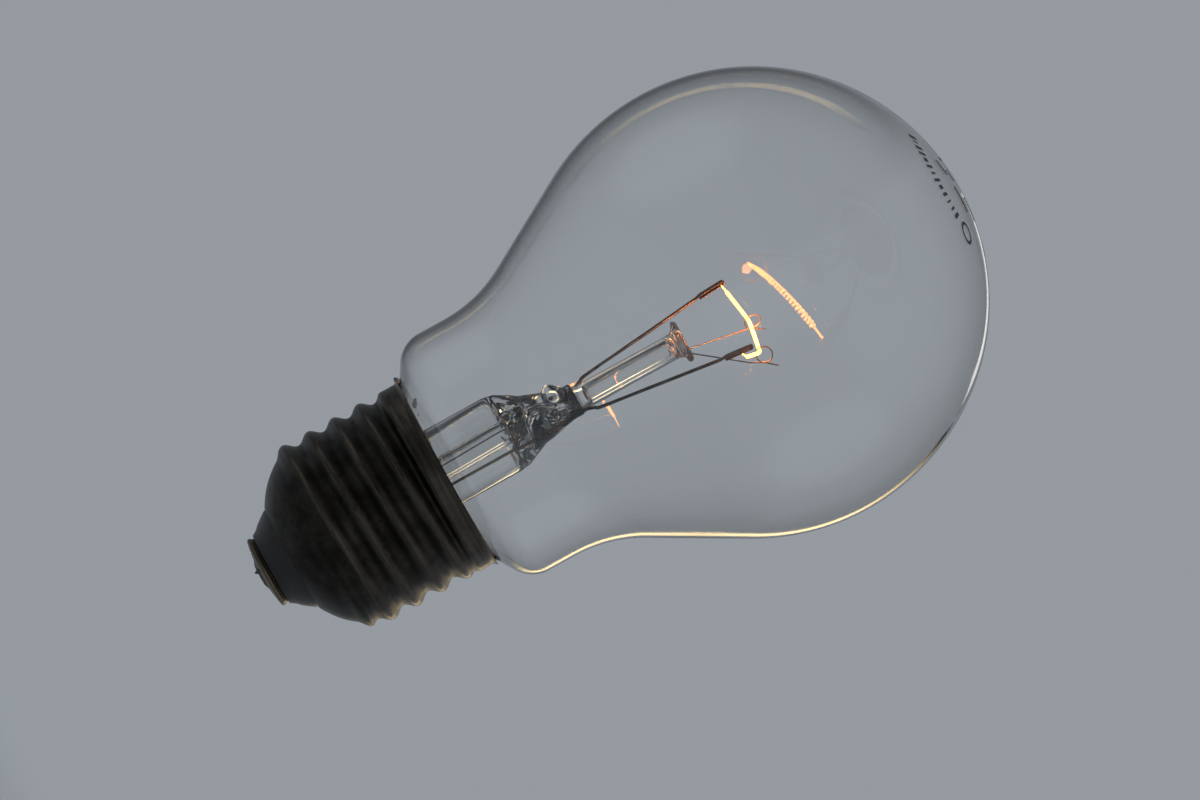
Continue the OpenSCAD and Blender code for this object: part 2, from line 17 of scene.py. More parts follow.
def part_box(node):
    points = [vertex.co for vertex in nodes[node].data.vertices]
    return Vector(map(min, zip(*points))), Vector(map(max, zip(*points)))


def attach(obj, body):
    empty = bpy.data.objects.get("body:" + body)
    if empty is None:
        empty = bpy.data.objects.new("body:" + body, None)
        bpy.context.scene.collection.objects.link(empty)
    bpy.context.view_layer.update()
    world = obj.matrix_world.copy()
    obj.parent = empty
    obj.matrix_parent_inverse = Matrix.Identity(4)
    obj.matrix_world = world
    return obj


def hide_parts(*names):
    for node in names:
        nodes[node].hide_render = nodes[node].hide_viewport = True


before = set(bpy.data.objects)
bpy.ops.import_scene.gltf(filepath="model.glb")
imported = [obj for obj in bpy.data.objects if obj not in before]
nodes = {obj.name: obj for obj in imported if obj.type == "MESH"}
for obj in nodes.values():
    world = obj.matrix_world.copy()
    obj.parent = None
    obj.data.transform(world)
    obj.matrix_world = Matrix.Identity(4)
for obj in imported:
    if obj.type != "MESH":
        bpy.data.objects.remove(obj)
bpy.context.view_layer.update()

MM = 0.001

# %% [markdown]
# ## The camera
# The bulb hangs in the view with its crown towards the upper right, 29 degrees above level. The
# camera looks straight across the axis, so only its roll tips the bulb. A long lens from 1.5 m
# keeps the outline almost free of perspective. Two level unit vectors, side across the view and
# depth away from it, are used again wherever a lamp or a mark has to lie left, right, before or
# behind.

# %% Make the camera
VIEW_DEGREES = 65
VIEW_AZIMUTH = math.radians(VIEW_DEGREES)
VIEW_ROLL = math.radians(29)
VIEW_DISTANCE = 1.5
VIEW_WIDTH = 0.1523
AIM_H = 0.0486
AIM_ACROSS = 0.0014
side = Vector((math.cos(VIEW_AZIMUTH), math.sin(VIEW_AZIMUTH), 0))
depth = Vector((-math.sin(VIEW_AZIMUTH), math.cos(VIEW_AZIMUTH), 0))
up = Vector((0, 0, 1))
aim = AIM_H * up + AIM_ACROSS * side


def put(name, data):
    thing = bpy.data.objects.new(name, data)
    bpy.context.scene.collection.objects.link(thing)
    return thing


camera = put("camera", bpy.data.cameras.new("camera"))
camera.data.lens = camera.data.sensor_width * VIEW_DISTANCE / VIEW_WIDTH
camera.data.clip_start = 0.01
right = math.sin(VIEW_ROLL) * side + math.cos(VIEW_ROLL) * up
above = math.sin(VIEW_ROLL) * up - math.cos(VIEW_ROLL) * side
turn = Matrix((right, above, -depth)).transposed()
camera.matrix_world = Matrix.Translation(aim - VIEW_DISTANCE * depth) @ turn.to_4x4()
bpy.context.scene.camera = camera
bpy.context.scene.view_settings.view_transform = "Standard"
print("lens", round(camera.data.lens, 1), "mm")

# %% [markdown]
# ## Sizes that the pieces share
# The heights and radii come from the frame's boxes, so the pieces stay where the solids are. The
# few that no box gives, such as the slope of the flank, are the glass maker's own drawing sizes.

# %% Read the frame's sizes
def box_of(node):
    low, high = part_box(node)
    return low / MM, high / MM


globe_r = box_of("glass_envelope")[1].x
crown_h = box_of("glass_envelope")[1].z
seal_h = box_of("glass_envelope")[0].z
globe_h = crown_h - globe_r
rim_h = box_of("cap_shell")[1].z
shell_low_h = box_of("cap_shell")[0].z
press_top_h = box_of("stem_flare")[1].z
button_top_h = box_of("support_rod")[1].z
lead_tip_h = box_of("inner_lead_1")[1].z
CONTACT_TOP_H = 1.65
NECK_R = 17.15
FLANK_ANGLE = 29.5
FLANK_BLEND_R = 18
SHOULDER_R = 4.5
SHOULDER_ANGLE = 58
SEAL_R = 11
SEAL_FILLET_R = 1.5
RIM_GLASS_R = 12.6
print("globe", round(globe_r, 2), "rim", round(rim_h, 2), "press top", round(press_top_h, 2))

# %% [markdown]
# ## Three ways to make a mesh
# Most pieces of a bulb are either turned or drawn out, so a few helpers make nearly all of them. A
# list of rings is joined into a skin; an outline turned about the axis is a lathe; and a ring
# carried along a path is a wire. All take millimetres, and faces point outwards. AXIS_R stands for
# the axis in an outline, because a ring needs some width.

# %% Mesh helpers
AXIS_R = 0.05
POLE_R = 0.002


def spread(low, high, count):
    """Evenly spaced plain numbers, because a Vector doesn't take numpy's own."""
    return np.linspace(low, high, count).tolist()


def new_piece(name, points, faces, smooth=True):
    mesh = bpy.data.meshes.new(name)
    mesh.from_pydata([tuple(np.asarray(p) * MM) for p in points], [], faces)
    mesh.validate()
    if smooth:
        mesh.shade_smooth()
    return put(name, mesh)


def joined_faces(rings, sides, closed=False):
    faces = []
    for i in range(rings if closed else rings - 1):
        for j in range(sides):
            a, b = i * sides + j, i * sides + (j + 1) % sides
            shift = ((i + 1) % rings - i) * sides
            faces.append((a, b, b + shift, a + shift))
    return faces


def skin(name, rings):
    sides = len(rings[0])
    faces = joined_faces(len(rings), sides)
    faces.append(tuple(reversed(range(sides))))
    faces.append(tuple((len(rings) - 1) * sides + j for j in range(sides)))
    return new_piece(name, np.concatenate(rings), faces)


def circle(radius, height, sides):
    angles = np.arange(sides) * (2 * math.pi / sides)
    return np.stack([radius * np.cos(angles), radius * np.sin(angles), height + 0 * angles], 1)


def lathe(name, outline, sides=128):
    """Turns a closed outline of (radius, height), listed so that the solid lies on its left."""
    rings = [circle(max(r, POLE_R), h, sides) for r, h in outline]
    return new_piece(name, np.concatenate(rings), joined_faces(len(rings), sides, closed=True))


def arc(centre, radius, start, end, step=2.0):
    angles = np.radians(spread(start, end, max(2, round(abs(end - start) / step) + 1)))
    return [(centre[0] + radius * math.cos(a), centre[1] + radius * math.sin(a)) for a in angles]


def smooth_step(low, high, value):
    t = min(1.0, max(0.0, (value - low) / (high - low)))
    return t * t * (3 - 2 * t)


def along(path, steps):
    """A smooth curve through the points of a path, with some steps between each two."""
    pts = [Vector(p) for p in path]
    out = []
    for i in range(len(pts) - 1):
        p0, p1, p2, p3 = pts[max(i - 1, 0)], pts[i], pts[i + 1], pts[min(i + 2, len(pts) - 1)]
        for k in range(steps):
            t = k / steps
            out.append(0.5 * (2 * p1 + (p2 - p0) * t + (2 * p0 - 5 * p1 + 4 * p2 - p3) * t * t
                              + (3 * p1 - p0 - 3 * p2 + p3) * t ** 3))
    return out + [pts[-1]]


def wire(name, path, section, sides=16):
    """Carries a section along a path. section(share) gives the half sizes across and through."""
    path = [Vector(p) for p in path]
    last = len(path) - 1
    normal = Vector((0, 1, 0))
    rings = []
    for i, point in enumerate(path):
        tangent = (path[min(i + 1, last)] - path[max(i - 1, 0)]).normalized()
        normal = (normal - normal.dot(tangent) * tangent).normalized()
        across = normal.cross(tangent)
        wide, thick = section(i / last)
        turns = [2 * math.pi * k / sides for k in range(sides)]
        rings.append([point + wide * math.cos(a) * across + thick * math.sin(a) * normal
                      for a in turns])
    return skin(name, [np.array(ring) for ring in rings])


def stand_for(piece, node, material=None, sharp=None):
    """Says which solid a piece stands for. sharp is the angle past which an edge stays sharp."""
    if sharp:
        piece.data.set_sharp_from_angle(angle=math.radians(sharp))
    if material:
        piece.data.materials.clear()
        piece.data.materials.append(material)
    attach(piece, "root")
    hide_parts(node)
    print(piece.name, "stands for", node, len(piece.data.polygons), "faces")


print("mesh helpers ready")

# %% [markdown]
# ## Shader maths
# Finishes are sums and masks of noise, so a small class lets them be written as plain sums. It
# wraps one output socket. An operator on it adds the Math node, and node() adds any other node:
# its settings are set first, then its inputs are given as numbers or as links.

# %% A socket that can be reckoned with
class Wire:
    def __init__(self, tree, socket=None):
        self.tree = tree
        self.socket = socket

    def node(self, kind, settings=None, inputs=None, out=0):
        made = self.tree.nodes.new(kind)
        for name, value in (settings or {}).items():
            setattr(made, name, value)
        for name, value in (inputs or {}).items():
            self.feed(made.inputs[name], value)
        return Wire(self.tree, made.outputs[out])

    def feed(self, socket, value):
        if isinstance(value, Wire):
            self.tree.links.new(value.socket, socket)
        else:
            socket.default_value = value

    def maths(self, operation, first, second=0.5):
        return self.node("ShaderNodeMath", {"operation": operation}, {0: first, 1: second})

    def vectors(self, operation, inputs, out=0):
        return self.node("ShaderNodeVectorMath", {"operation": operation}, inputs, out)

    def out(self, name):
        """Another output of the same node, by its name or number."""
        return Wire(self.tree, self.socket.node.outputs[name])

    def __add__(self, other):
        return self.maths("ADD", self, other)

    def __radd__(self, other):
        return self.maths("ADD", other, self)

    def __sub__(self, other):
        return self.maths("SUBTRACT", self, other)

    def __rsub__(self, other):
        return self.maths("SUBTRACT", other, self)

    def __mul__(self, other):
        return self.maths("MULTIPLY", self, other)

    def __rmul__(self, other):
        return self.maths("MULTIPLY", other, self)

    def __truediv__(self, other):
        return self.maths("DIVIDE", self, other)

    def __pow__(self, other):
        return self.maths("POWER", self, other)

    def ramp(self, low, high):
        """0 below low, 1 above high, and a soft rise between."""
        return self.node("ShaderNodeMapRange", {"interpolation_type": "SMOOTHSTEP"},
                         {"Value": self, "From Min": low, "From Max": high})

    def blend(self, colour_0, colour_1):
        """Two colours mixed. A Mix node names its sockets alike for numbers and for colours, so
        the sockets for colours are given by their place."""
        def full(colour):
            return colour if isinstance(colour, Wire) else (*colour, 1)
        return self.node("ShaderNodeMix", {"data_type": "RGBA"},
                         {0: self, 6: full(colour_0), 7: full(colour_1)}, out=2)


print("shader maths ready")

# %% [markdown]
# ## Finishes
# Each finish is a short function. All of them read the piece's own coordinates, in metres, so the
# marks stay put when the view moves. Noise scales are given in cells per metre: 400 makes blotches
# of a few millimetres and 6000 makes grain.

# %% Material helpers
def begin(name):
    material = bpy.data.materials.new(name)
    material.use_nodes = True
    tree = material.node_tree
    tree.nodes.clear()
    start = Wire(tree)
    place = start.node("ShaderNodeTexCoord", out="Object")
    return material, start, place


def finish(material, start, surface):
    output = material.node_tree.nodes.new("ShaderNodeOutputMaterial")
    start.feed(output.inputs["Surface"], surface)
    return material


def grain(start, place, scale, detail=4.0, rough=0.6, warp=0.0):
    return start.node("ShaderNodeTexNoise", None, {
        "Vector": place, "Scale": scale, "Detail": detail, "Roughness": rough, "Distortion": warp})


def parts_of(start, place):
    """The piece's own x, y and z, and the distance from the axis."""
    split = start.node("ShaderNodeSeparateXYZ", None, {"Vector": place})
    x, y, z = (split.out(i) for i in range(3))
    return x, y, z, start.maths("SQRT", x * x + y * y)


def bump(start, height, strength, distance):
    return start.node("ShaderNodeBump", None,
                      {"Height": height, "Strength": strength, "Distance": distance})


print("material helpers ready")

# %% [markdown]
# ## Glass
# Clear glass is nearly all shape: it bends what is behind it and mirrors what is around it. A real
# bulb is easy to see mainly at its edges, where the eye looks through much more glass. So the tint
# is white in the middle and turns grey only where the surface is seen at a shallow angle, and a
# thin grey film there darkens the outline more: both are painted shade, for the dark that the edges
# mirror. Lamps shine through glass, so shadow rays pass it with a little loss. The stem is painted
# near black in places, as painted shade for the dark bands of the pinched glass, and the button is
# painted orange brown, as a painted glow of the coil's light.

# %% Glass
# The grey of the thin film of painted shade along the outline of the glass.
PAINTED_EDGE_SHADE = (0.03, 0.033, 0.036, 1)
# From this height up, the stem glass gets painted shade.
PAINTED_SHADE_FROM_H = 38.4


def painted_light_mask(start, place, low, high):
    """Where the glass is painted over: in streaks, on the shoulders and at the end. On the stem
    this is painted shade, for the dark bands of the pinched glass, and on the button a painted
    glow. The blown bulge beside the exhaust hole and a small window in the middle stay clear."""
    x, y, height = parts_of(start, place)[:3]
    across = x * side.x + y * side.y
    cloud = grain(start, place, 200, detail=1.0, rough=0.4, warp=2.2)
    uneven = height + 1.6 * MM * (cloud - 0.5)
    streak = cloud.ramp(0.52, 0.56)
    out = start.maths("ABSOLUTE", across + 0.6 * MM)
    shoulder = out.ramp(2.3 * MM, 2.9 * MM) * (1 - uneven.ramp((low + 2.6) * MM, (low + 3.1) * MM))
    end = uneven.ramp((high - 1.6) * MM, (high - 1.2) * MM)
    mask = start.maths("MAXIMUM", start.maths("MAXIMUM", streak, shoulder), end)

    def kept_clear(centre_across, centre_h, reach):
        off_a, off_h = across - centre_across * MM, (height - centre_h * MM) * 0.75
        distance = start.maths("SQRT", off_a * off_a + off_h * off_h)
        return distance.ramp((reach - 0.15) * MM, (reach + 0.15) * MM)

    bulge = kept_clear(-2.5, high - 2.4, 1.6)
    window = kept_clear(0.4, high - 3.3, 1.4)
    from_low = uneven.ramp(low * MM, (low + 0.4) * MM)
    to_high = 1 - height.ramp(high * MM, (high + 0.3) * MM)
    return mask * bulge * window * from_low * to_high


def glass(name, edge, middle, sharpness, ior, shade, edge_shade, painted_tone=None):
    """edge and middle are the tints at the outline and square on, and sharpness narrows the edge.
    The grey at the edge is painted shade. The next argument is how dark and how narrow a grey film
    of painted shade at the outline is, and shade is what shadow rays keep. The last gives the two
    heights between which the glass is painted over, and the tone painted there."""
    material, start, place = begin(name)
    facing = start.node("ShaderNodeLayerWeight", None, {"Blend": 0.5}, out="Facing")
    # Grey towards the outline: painted shade for the dark that the edges mirror.
    colour = (facing ** sharpness).blend(middle, edge)
    if painted_tone:
        low, high, tone = painted_tone
        # Painted shade on the stem, and a painted glow on the button.
        colour = painted_light_mask(start, place, low, high).blend(colour, tone)
    body = start.node("ShaderNodeBsdfPrincipled", None, {
        "Base Color": colour, "Roughness": 0.0, "IOR": ior, "Transmission Weight": 1.0})
    # A thin grey film of painted shade darkens the very outline.
    grey = start.node("ShaderNodeBsdfDiffuse", None, {"Color": PAINTED_EDGE_SHADE})
    edge_shaded = start.node("ShaderNodeMixShader", None,
                        {0: edge_shade[0] * facing ** edge_shade[1], 1: body, 2: grey})
    clear = start.node("ShaderNodeBsdfTransparent", None, {"Color": (*shade, 1)})
    shadow = start.node("ShaderNodeLightPath").out("Is Shadow Ray")
    return finish(material, start, start.node("ShaderNodeMixShader", None,
                                              {0: shadow, 1: edge_shaded, 2: clear}))


clear_glass = glass("clear_glass", edge=(0.45, 0.47, 0.48), middle=(0.985, 0.99, 0.99),
                    sharpness=4.0, ior=1.5, shade=(0.93, 0.94, 0.94), edge_shade=(0.34, 3.6))
# The stem's near black tone is painted shade, and the button's orange brown tone is a painted glow
# from the coil.
stem_glass = glass("stem_glass", edge=(0.25, 0.25, 0.25), middle=(0.97, 0.975, 0.97),
                   sharpness=5.0, ior=1.55, shade=(0.85, 0.86, 0.86), edge_shade=(1.0, 4.5),
                   painted_tone=(PAINTED_SHADE_FROM_H, press_top_h, (0.010, 0.008, 0.007)))
button_glass = glass("button_glass", edge=(0.10, 0.10, 0.10), middle=(0.97, 0.96, 0.95),
                     sharpness=4.0, ior=1.55, shade=(0.85, 0.86, 0.86), edge_shade=(0.8, 4.5),
                     painted_tone=(button_top_h - 0.9, button_top_h + 0.2, (0.55, 0.30, 0.20)))
print("glass", clear_glass.name, stem_glass.name, button_glass.name)

# %% [markdown]
# ## Metals
# Wires and cap are the same kind of finish at different settings: a base colour that wanders
# between two tones, a roughness that wanders with it, and a very small bump. The wires are dark,
# and browner towards the end by the coil, where the brown is a painted glow of the coil's light.

# %% Wire metals
def wire_metal(name, dark, light, scale, rough, hot_glow=None):
    """The last argument is the tone at the end by the coil, a painted glow of its orange light, and
    the heights between which it sets in.
    """
    material, start, place = begin(name)
    cloud = grain(start, place, scale)
    fine = grain(start, place, scale * 12)
    colour = cloud.ramp(0.35, 0.7).blend(dark, light)
    if hot_glow:
        tone, low, high = hot_glow
        height = parts_of(start, place)[2]
        # Browner towards the coil: a painted glow of the coil's orange light.
        colour = (height.ramp(low * MM, high * MM) * (0.4 + 0.6 * cloud)).blend(colour, tone)
    surface = start.node("ShaderNodeBsdfPrincipled", None, {
        "Base Color": colour, "Metallic": 1.0, "Roughness": rough + 0.25 * fine,
        "Normal": bump(start, fine, 0.25, 0.02 * MM)})
    return finish(material, start, surface)


lead_metal = wire_metal("lead_metal", (0.05, 0.045, 0.042), (0.15, 0.135, 0.125), 900, 0.28,
                        hot_glow=((0.22, 0.12, 0.08), press_top_h + 8, lead_tip_h))
support_metal = wire_metal("support_metal", (0.12, 0.11, 0.105), (0.30, 0.27, 0.25), 1500, 0.3,
                           hot_glow=((0.35, 0.2, 0.13), button_top_h + 2, lead_tip_h))
seal_metal = wire_metal("seal_metal", (0.10, 0.035, 0.02), (0.20, 0.07, 0.04), 700, 0.3)
copper_lead = wire_metal("copper_lead", (0.06, 0.042, 0.032), (0.16, 0.09, 0.06), 600, 0.35)
print("wire metals", lead_metal.name, support_metal.name, seal_metal.name, copper_lead.name)

# %% [markdown]
# ## The glowing coil
# The coil is at red-orange heat. Its light is bright enough to wash out to near white in the
# middle, while its rims and its mirror images in the glass keep the orange.

# %% Glow
def glow(name, colour, strength):
    material, start, place = begin(name)
    fine = grain(start, place, 2500)
    hot_glow = start.node("ShaderNodeBsdfPrincipled", None, {
        "Base Color": (0.25, 0.22, 0.2, 1), "Metallic": 1.0, "Roughness": 0.5,
        "Emission Color": fine.ramp(0.2, 0.7).blend([c * 0.8 for c in colour], colour),
        "Emission Strength": strength})
    return finish(material, start, hot_glow)


hot_filament = glow("hot_filament", colour=(1.0, 0.32, 0.028), strength=36.0)
print("glow", hot_filament.name)

# %% [markdown]
# ## The cap's metals
# The screw cap has been in and out of sockets for years. It is dull all over, and its tones are
# kept very dark as painted shade, for a cap with the light behind it. It is nearly black in the
# valleys of the thread where dirt and oxide stay, and rubbed lighter on the crests. Fine rings run
# round it, left by the socket. The mask for the crests is simply the distance from the axis.

# %% Cap, contact and solder
def worn_metal(name, dark, mid, bright, crest, rough, ring_scale):
    """crest is the two distances from the axis between which the rubbed tone sets in."""
    material, start, place = begin(name)
    x, _, z, radius = parts_of(start, place)
    cloud = grain(start, place, 260, 6.0, 0.65)
    blotch = grain(start, place, 900, 5.0, 0.6, 0.6)
    fine = grain(start, place, 7000, 3.0)
    ring_place = start.node("ShaderNodeCombineXYZ", None,
                            {0: radius * ring_scale, 1: x * 0.06, 2: z * ring_scale})
    rings = grain(start, ring_place, 2200, 3.0)
    worn = (radius + 0.00035 * (blotch - 0.5)).ramp(crest[0] * MM, crest[1] * MM)
    base = cloud.ramp(0.35, 0.68).blend(dark, mid)
    colour = (worn * (0.35 + 0.75 * rings.ramp(0.4, 0.62))).blend(base, bright)
    stain = blotch.ramp(0.56, 0.72) * 0.6
    colour = stain.blend(colour, [c * 0.45 for c in dark])
    surface = start.node("ShaderNodeBsdfPrincipled", None, {
        "Base Color": colour, "Metallic": 1.0,
        "Roughness": rough + 0.22 * blotch + 0.12 * rings - 0.12 * worn,
        "Normal": bump(start, fine * 0.5 + rings * 0.5 + stain * 1.5, 0.35, 0.04 * MM)})
    return finish(material, start, surface)


# The cap's very dark tones are painted shade, and its lighter crests are wear.
cap_metal = worn_metal("cap_metal", dark=(0.022, 0.019, 0.016), mid=(0.055, 0.048, 0.04),
                       bright=(0.11, 0.093, 0.073), crest=(12.75, 13.15), rough=0.17,
                       ring_scale=1.0)
# The contact's dark tones are painted shade as well.
contact_metal = worn_metal("contact_metal", dark=(0.05, 0.04, 0.03), mid=(0.11, 0.085, 0.06),
                           bright=(0.19, 0.15, 0.10), crest=(3.0, 4.7), rough=0.25,
                           ring_scale=1.0)
solder = worn_metal("solder", dark=(0.08, 0.08, 0.08), mid=(0.16, 0.155, 0.15),
                    bright=(0.24, 0.235, 0.23), crest=(1.2, 14.0), rough=0.32, ring_scale=0.4)
print("cap metals", cap_metal.name, contact_metal.name, solder.name)

# %% [markdown]
# ## Black glass, cement and ink
# What is left is plain: black glass with a faint gloss, brown grey cement, dark ink, and the grey
# of a smudge. None of them is metal, and none is worn in one place more than in another, so a tone
# that wanders between two colours and a small bump are enough.

# %% Plain finishes
def plain_finish(name, dark, light, scale, rough, gloss, grain_depth):
    material, start, place = begin(name)
    cloud = grain(start, place, scale, 5.0)
    fine = grain(start, place, scale * 9, 3.0)
    surface = start.node("ShaderNodeBsdfPrincipled", None, {
        "Base Color": cloud.ramp(0.35, 0.7).blend(dark, light), "Roughness": rough + 0.2 * fine,
        "Coat Weight": gloss,
        "Normal": bump(start, cloud * 0.6 + fine * 0.4, 0.5, grain_depth * MM)})
    return finish(material, start, surface)


black_glass = plain_finish("black_glass", (0.005, 0.005, 0.005), (0.014, 0.013, 0.013),
                           scale=500, rough=0.25, gloss=0.2, grain_depth=0.06)
cement = plain_finish("cement", (0.11, 0.09, 0.07), (0.20, 0.165, 0.125),
                      scale=900, rough=0.75, gloss=0.0, grain_depth=0.1)
ink = plain_finish("ink", (0.016, 0.016, 0.018), (0.05, 0.05, 0.055),
                   scale=1800, rough=0.6, gloss=0.0, grain_depth=0.01)
smudge = plain_finish("smudge", (0.22, 0.22, 0.23), (0.36, 0.36, 0.38),
                      scale=1800, rough=0.7, gloss=0.0, grain_depth=0.01)
print("plain finishes", black_glass.name, cement.name, ink.name, smudge.name)

# %% [markdown]
# ## The envelope
# Blown glass is thickest where it was stretched least, in the neck, and thinner at the crown. It is
# drawn thinnest at the rim and below it, because a thick wall in the tight bend there would bend
# the view down into the dark cap. The envelope is one outline of four arcs, drawn twice: outside as
# it is, and inside moved in by the wall. Turned about the axis, the two make one closed shell.
# Every arc shares its tangent with the next, so the glass has no kink. A lathe is the right tool
# because the mould was round.

# %% Envelope outline
tan_shoulder = math.tan(math.radians(SHOULDER_ANGLE))
sin_shoulder = math.sin(math.radians(SHOULDER_ANGLE))
cos_shoulder = math.cos(math.radians(SHOULDER_ANGLE))
shoulder_h = (rim_h + (NECK_R - SHOULDER_R * (1 - cos_shoulder) - RIM_GLASS_R) / tan_shoulder
              + SHOULDER_R * sin_shoulder)
fillet_h = (rim_h - (RIM_GLASS_R - SEAL_R - SEAL_FILLET_R * (1 - cos_shoulder)) / tan_shoulder
            - SEAL_FILLET_R * sin_shoulder)
throat_h = (globe_h - (globe_r - NECK_R * math.cos(math.radians(FLANK_ANGLE)))
            / math.sin(math.radians(FLANK_ANGLE)))
flank_h = throat_h - FLANK_BLEND_R * math.tan(math.radians(FLANK_ANGLE / 2))


def envelope_side(wall):
    """The outline from the seal to the crown. wall(share) is how far in it lies."""
    arcs = [((SEAL_R + SEAL_FILLET_R, fillet_h), SEAL_FILLET_R, 1, 180, 180 - SHOULDER_ANGLE),
            ((NECK_R - SHOULDER_R, shoulder_h), SHOULDER_R, -1, -SHOULDER_ANGLE, 0),
            ((NECK_R + FLANK_BLEND_R, flank_h), FLANK_BLEND_R, 1, 180, 180 - FLANK_ANGLE),
            ((0, globe_h), globe_r, -1, -FLANK_ANGLE, 90)]
    points = [(SEAL_R - wall(seal_h), seal_h)]
    for centre, radius, grows, start_angle, end_angle in arcs:
        for point, outer in zip(arc(centre, radius, start_angle, end_angle),
                                arc(centre, 1.0, start_angle, end_angle)):
            inset = wall(point[1])
            direction = (outer[0] - centre[0], outer[1] - centre[1])
            points.append((point[0] + grows * inset * direction[0],
                           point[1] + grows * inset * direction[1]))
    return points


RIM_WALL = 0.22
NECK_WALL = 0.52
CROWN_WALL = 0.42
neck_h = rim_h + 6


def wall_at(height):
    return (RIM_WALL + (NECK_WALL - RIM_WALL) * smooth_step(rim_h, neck_h, height)
            - (NECK_WALL - CROWN_WALL) * smooth_step(neck_h, globe_h, height))


outside = envelope_side(lambda height: 0.0)
inside = envelope_side(wall_at)
envelope = lathe("glass_bulb", outside + inside[::-1], 192)
stand_for(envelope, "glass_envelope", clear_glass)

# %% [markdown]
# ## The stem
# The stem starts as a tube with a flange. Its top is heated and pinched flat by two jaws, which
# seals the lead wires in, and a puff of air blows a small hole out through the soft glass beside
# the exhaust tube. So the outside is a stack of rings that go from round to flat, with a bulge on
# one side, and the pinched part is a little lumpy. The hollow and the blow hole are cut out of it
# with booleans, because glass looks right only when it is one closed shell.

# %% Stem outside
FLARE_R = 5.25
FLARE_BEND_R = 4
FLARE_WALL = 0.5
PRESS_RUN = 10.7
ROD_R = 1.65
EXHAUST_R = 1.6
STEM_SIDES = 128
BULGE_OUT = 1.9
BULGE_BACK = 0.25
LUMP = 0.20
FOLD = 0.04
press_low_h = press_top_h - PRESS_RUN
blow_hole_h = press_low_h + 0.76 * PRESS_RUN
flare_bend = (FLARE_R + FLARE_BEND_R, seal_h + FLARE_BEND_R)


def press_size(share):
    """Half width, half thickness and squareness of the press at a share of its height."""
    places = [0, 0.14, 0.28, 0.42, 0.6, 0.75, 0.86, 1.0]
    wide = np.interp(share, places, [5.25, 5.25, 5.2, 5.1, 4.85, 4.5, 4.3, 4.25])
    thick = np.interp(share, places, [5.25, 4.95, 4.0, 2.75, 1.95, 1.25, 0.95, 0.9])
    return wide, thick, 2 + 1.2 * smooth_step(0.2, 0.8, share)


def press_ring(height):
    share = (height - press_low_h) / PRESS_RUN
    wide, thick, square = press_size(share)
    soft = smooth_step(0.1, 0.45, share)
    ring = []
    for angle in spread(0, 2 * math.pi, STEM_SIDES + 1)[:-1]:
        c, s = math.cos(angle), math.sin(angle)
        radius = (abs(c / wide) ** square + abs(s / thick) ** square) ** (-1 / square)
        core = ROD_R * smooth_step(0.35, 0.8, share)
        radius = (radius ** 6 + core ** 6) ** (1 / 6)
        swell = math.exp(-((height - blow_hole_h) / 1.5) ** 2 - ((radius * c) / 1.6) ** 2)
        radius += (BULGE_OUT if s < 0 else BULGE_BACK) * swell
        lump = noise.noise(Vector((c * 1.9, s * 1.9, height * 0.45)))
        fold = noise.noise(Vector((c * 3.5 + 5, s * 3.5, height * 0.9)))
        radius += soft * (LUMP * lump + FOLD * fold) * (1 - smooth_step(0.93, 1.0, share))
        ring.append((radius * c, radius * s, height))
    return np.array(ring)


def stem_rings():
    low = seal_h - FLARE_WALL
    sizes = [(SEAL_R - 0.1, low), (SEAL_R, low + 0.1), (SEAL_R, seal_h)]
    sizes += arc(flare_bend, FLARE_BEND_R, 270, 180, 6)
    sizes += [(FLARE_R, h) for h in spread(seal_h + FLARE_BEND_R, press_low_h, 8)[1:-1]]
    rings = [circle(r, h, STEM_SIDES) for r, h in sizes]
    rings += [press_ring(h) for h in spread(press_low_h, press_top_h - 0.25, 56)]
    top, centre = rings[-1], np.array([0, 0, press_top_h])
    for across, rise in ((0.97, 0.4), (0.9, 0.0)):
        rings.append((top - centre) * np.array([across, across, rise]) + centre)
    return rings


stem = skin("stem", stem_rings())
print("stem outside", len(stem.data.polygons), "faces")


# %% Cut the hollow and the blow hole
LEAN_OUT = 0.8
LEAN_BACK = 0.65
ROOF_R = 2.6


def lean_over(piece):
    """The flare was sealed in a little crooked: it leans away at mid height, and back higher up."""
    for vertex in piece.data.vertices:
        h = vertex.co.z / MM
        out, back = smooth_step(seal_h + 1, rim_h, h), smooth_step(press_low_h, press_top_h, h)
        vertex.co += (LEAN_BACK * back - LEAN_OUT * out) * MM * side


def cut_out(piece, cutter):
    modifier = piece.modifiers.new("cut", "BOOLEAN")
    modifier.object = cutter
    modifier.operation = "DIFFERENCE"
    modifier.solver = "EXACT"
    evaluated = piece.evaluated_get(bpy.context.evaluated_depsgraph_get())
    mesh = bpy.data.meshes.new_from_object(evaluated)
    mesh.shade_smooth()
    piece.modifiers.clear()
    piece.data = mesh
    bpy.data.objects.remove(cutter)


def channel_size(share):
    width = 0.85 + 0.35 * smooth_step(0.45, 0.85, share)
    return width, width


inner_r = FLARE_R - FLARE_WALL
roof_low_h = press_low_h - 0.6
roof_h = press_low_h + 0.3 * PRESS_RUN
hollow = ([(AXIS_R, seal_h - 3), (flare_bend[0], seal_h - 3)]
          + arc(flare_bend, FLARE_BEND_R + FLARE_WALL, 270, 180, 6)
          + [(inner_r, roof_low_h)] + arc((inner_r - ROOF_R, roof_low_h), ROOF_R, 0, 55, 8)
          + [(EXHAUST_R + 0.35, roof_h - 0.15), (EXHAUST_R, roof_h), (AXIS_R, roof_h)])
channel = [(0, 0, roof_h - 0.4), (0, 0, roof_h + 2), (0, -0.1, blow_hole_h - 1.0),
           (0, -0.9, blow_hole_h - 0.15), (0, -2.0, blow_hole_h + 0.05),
           (0, -4.5, blow_hole_h + 0.1)]
cut_out(stem, skin("hollow", [circle(r, h, STEM_SIDES) for r, h in hollow]))
cut_out(stem, wire("channel", along(channel, 8), channel_size, 40))
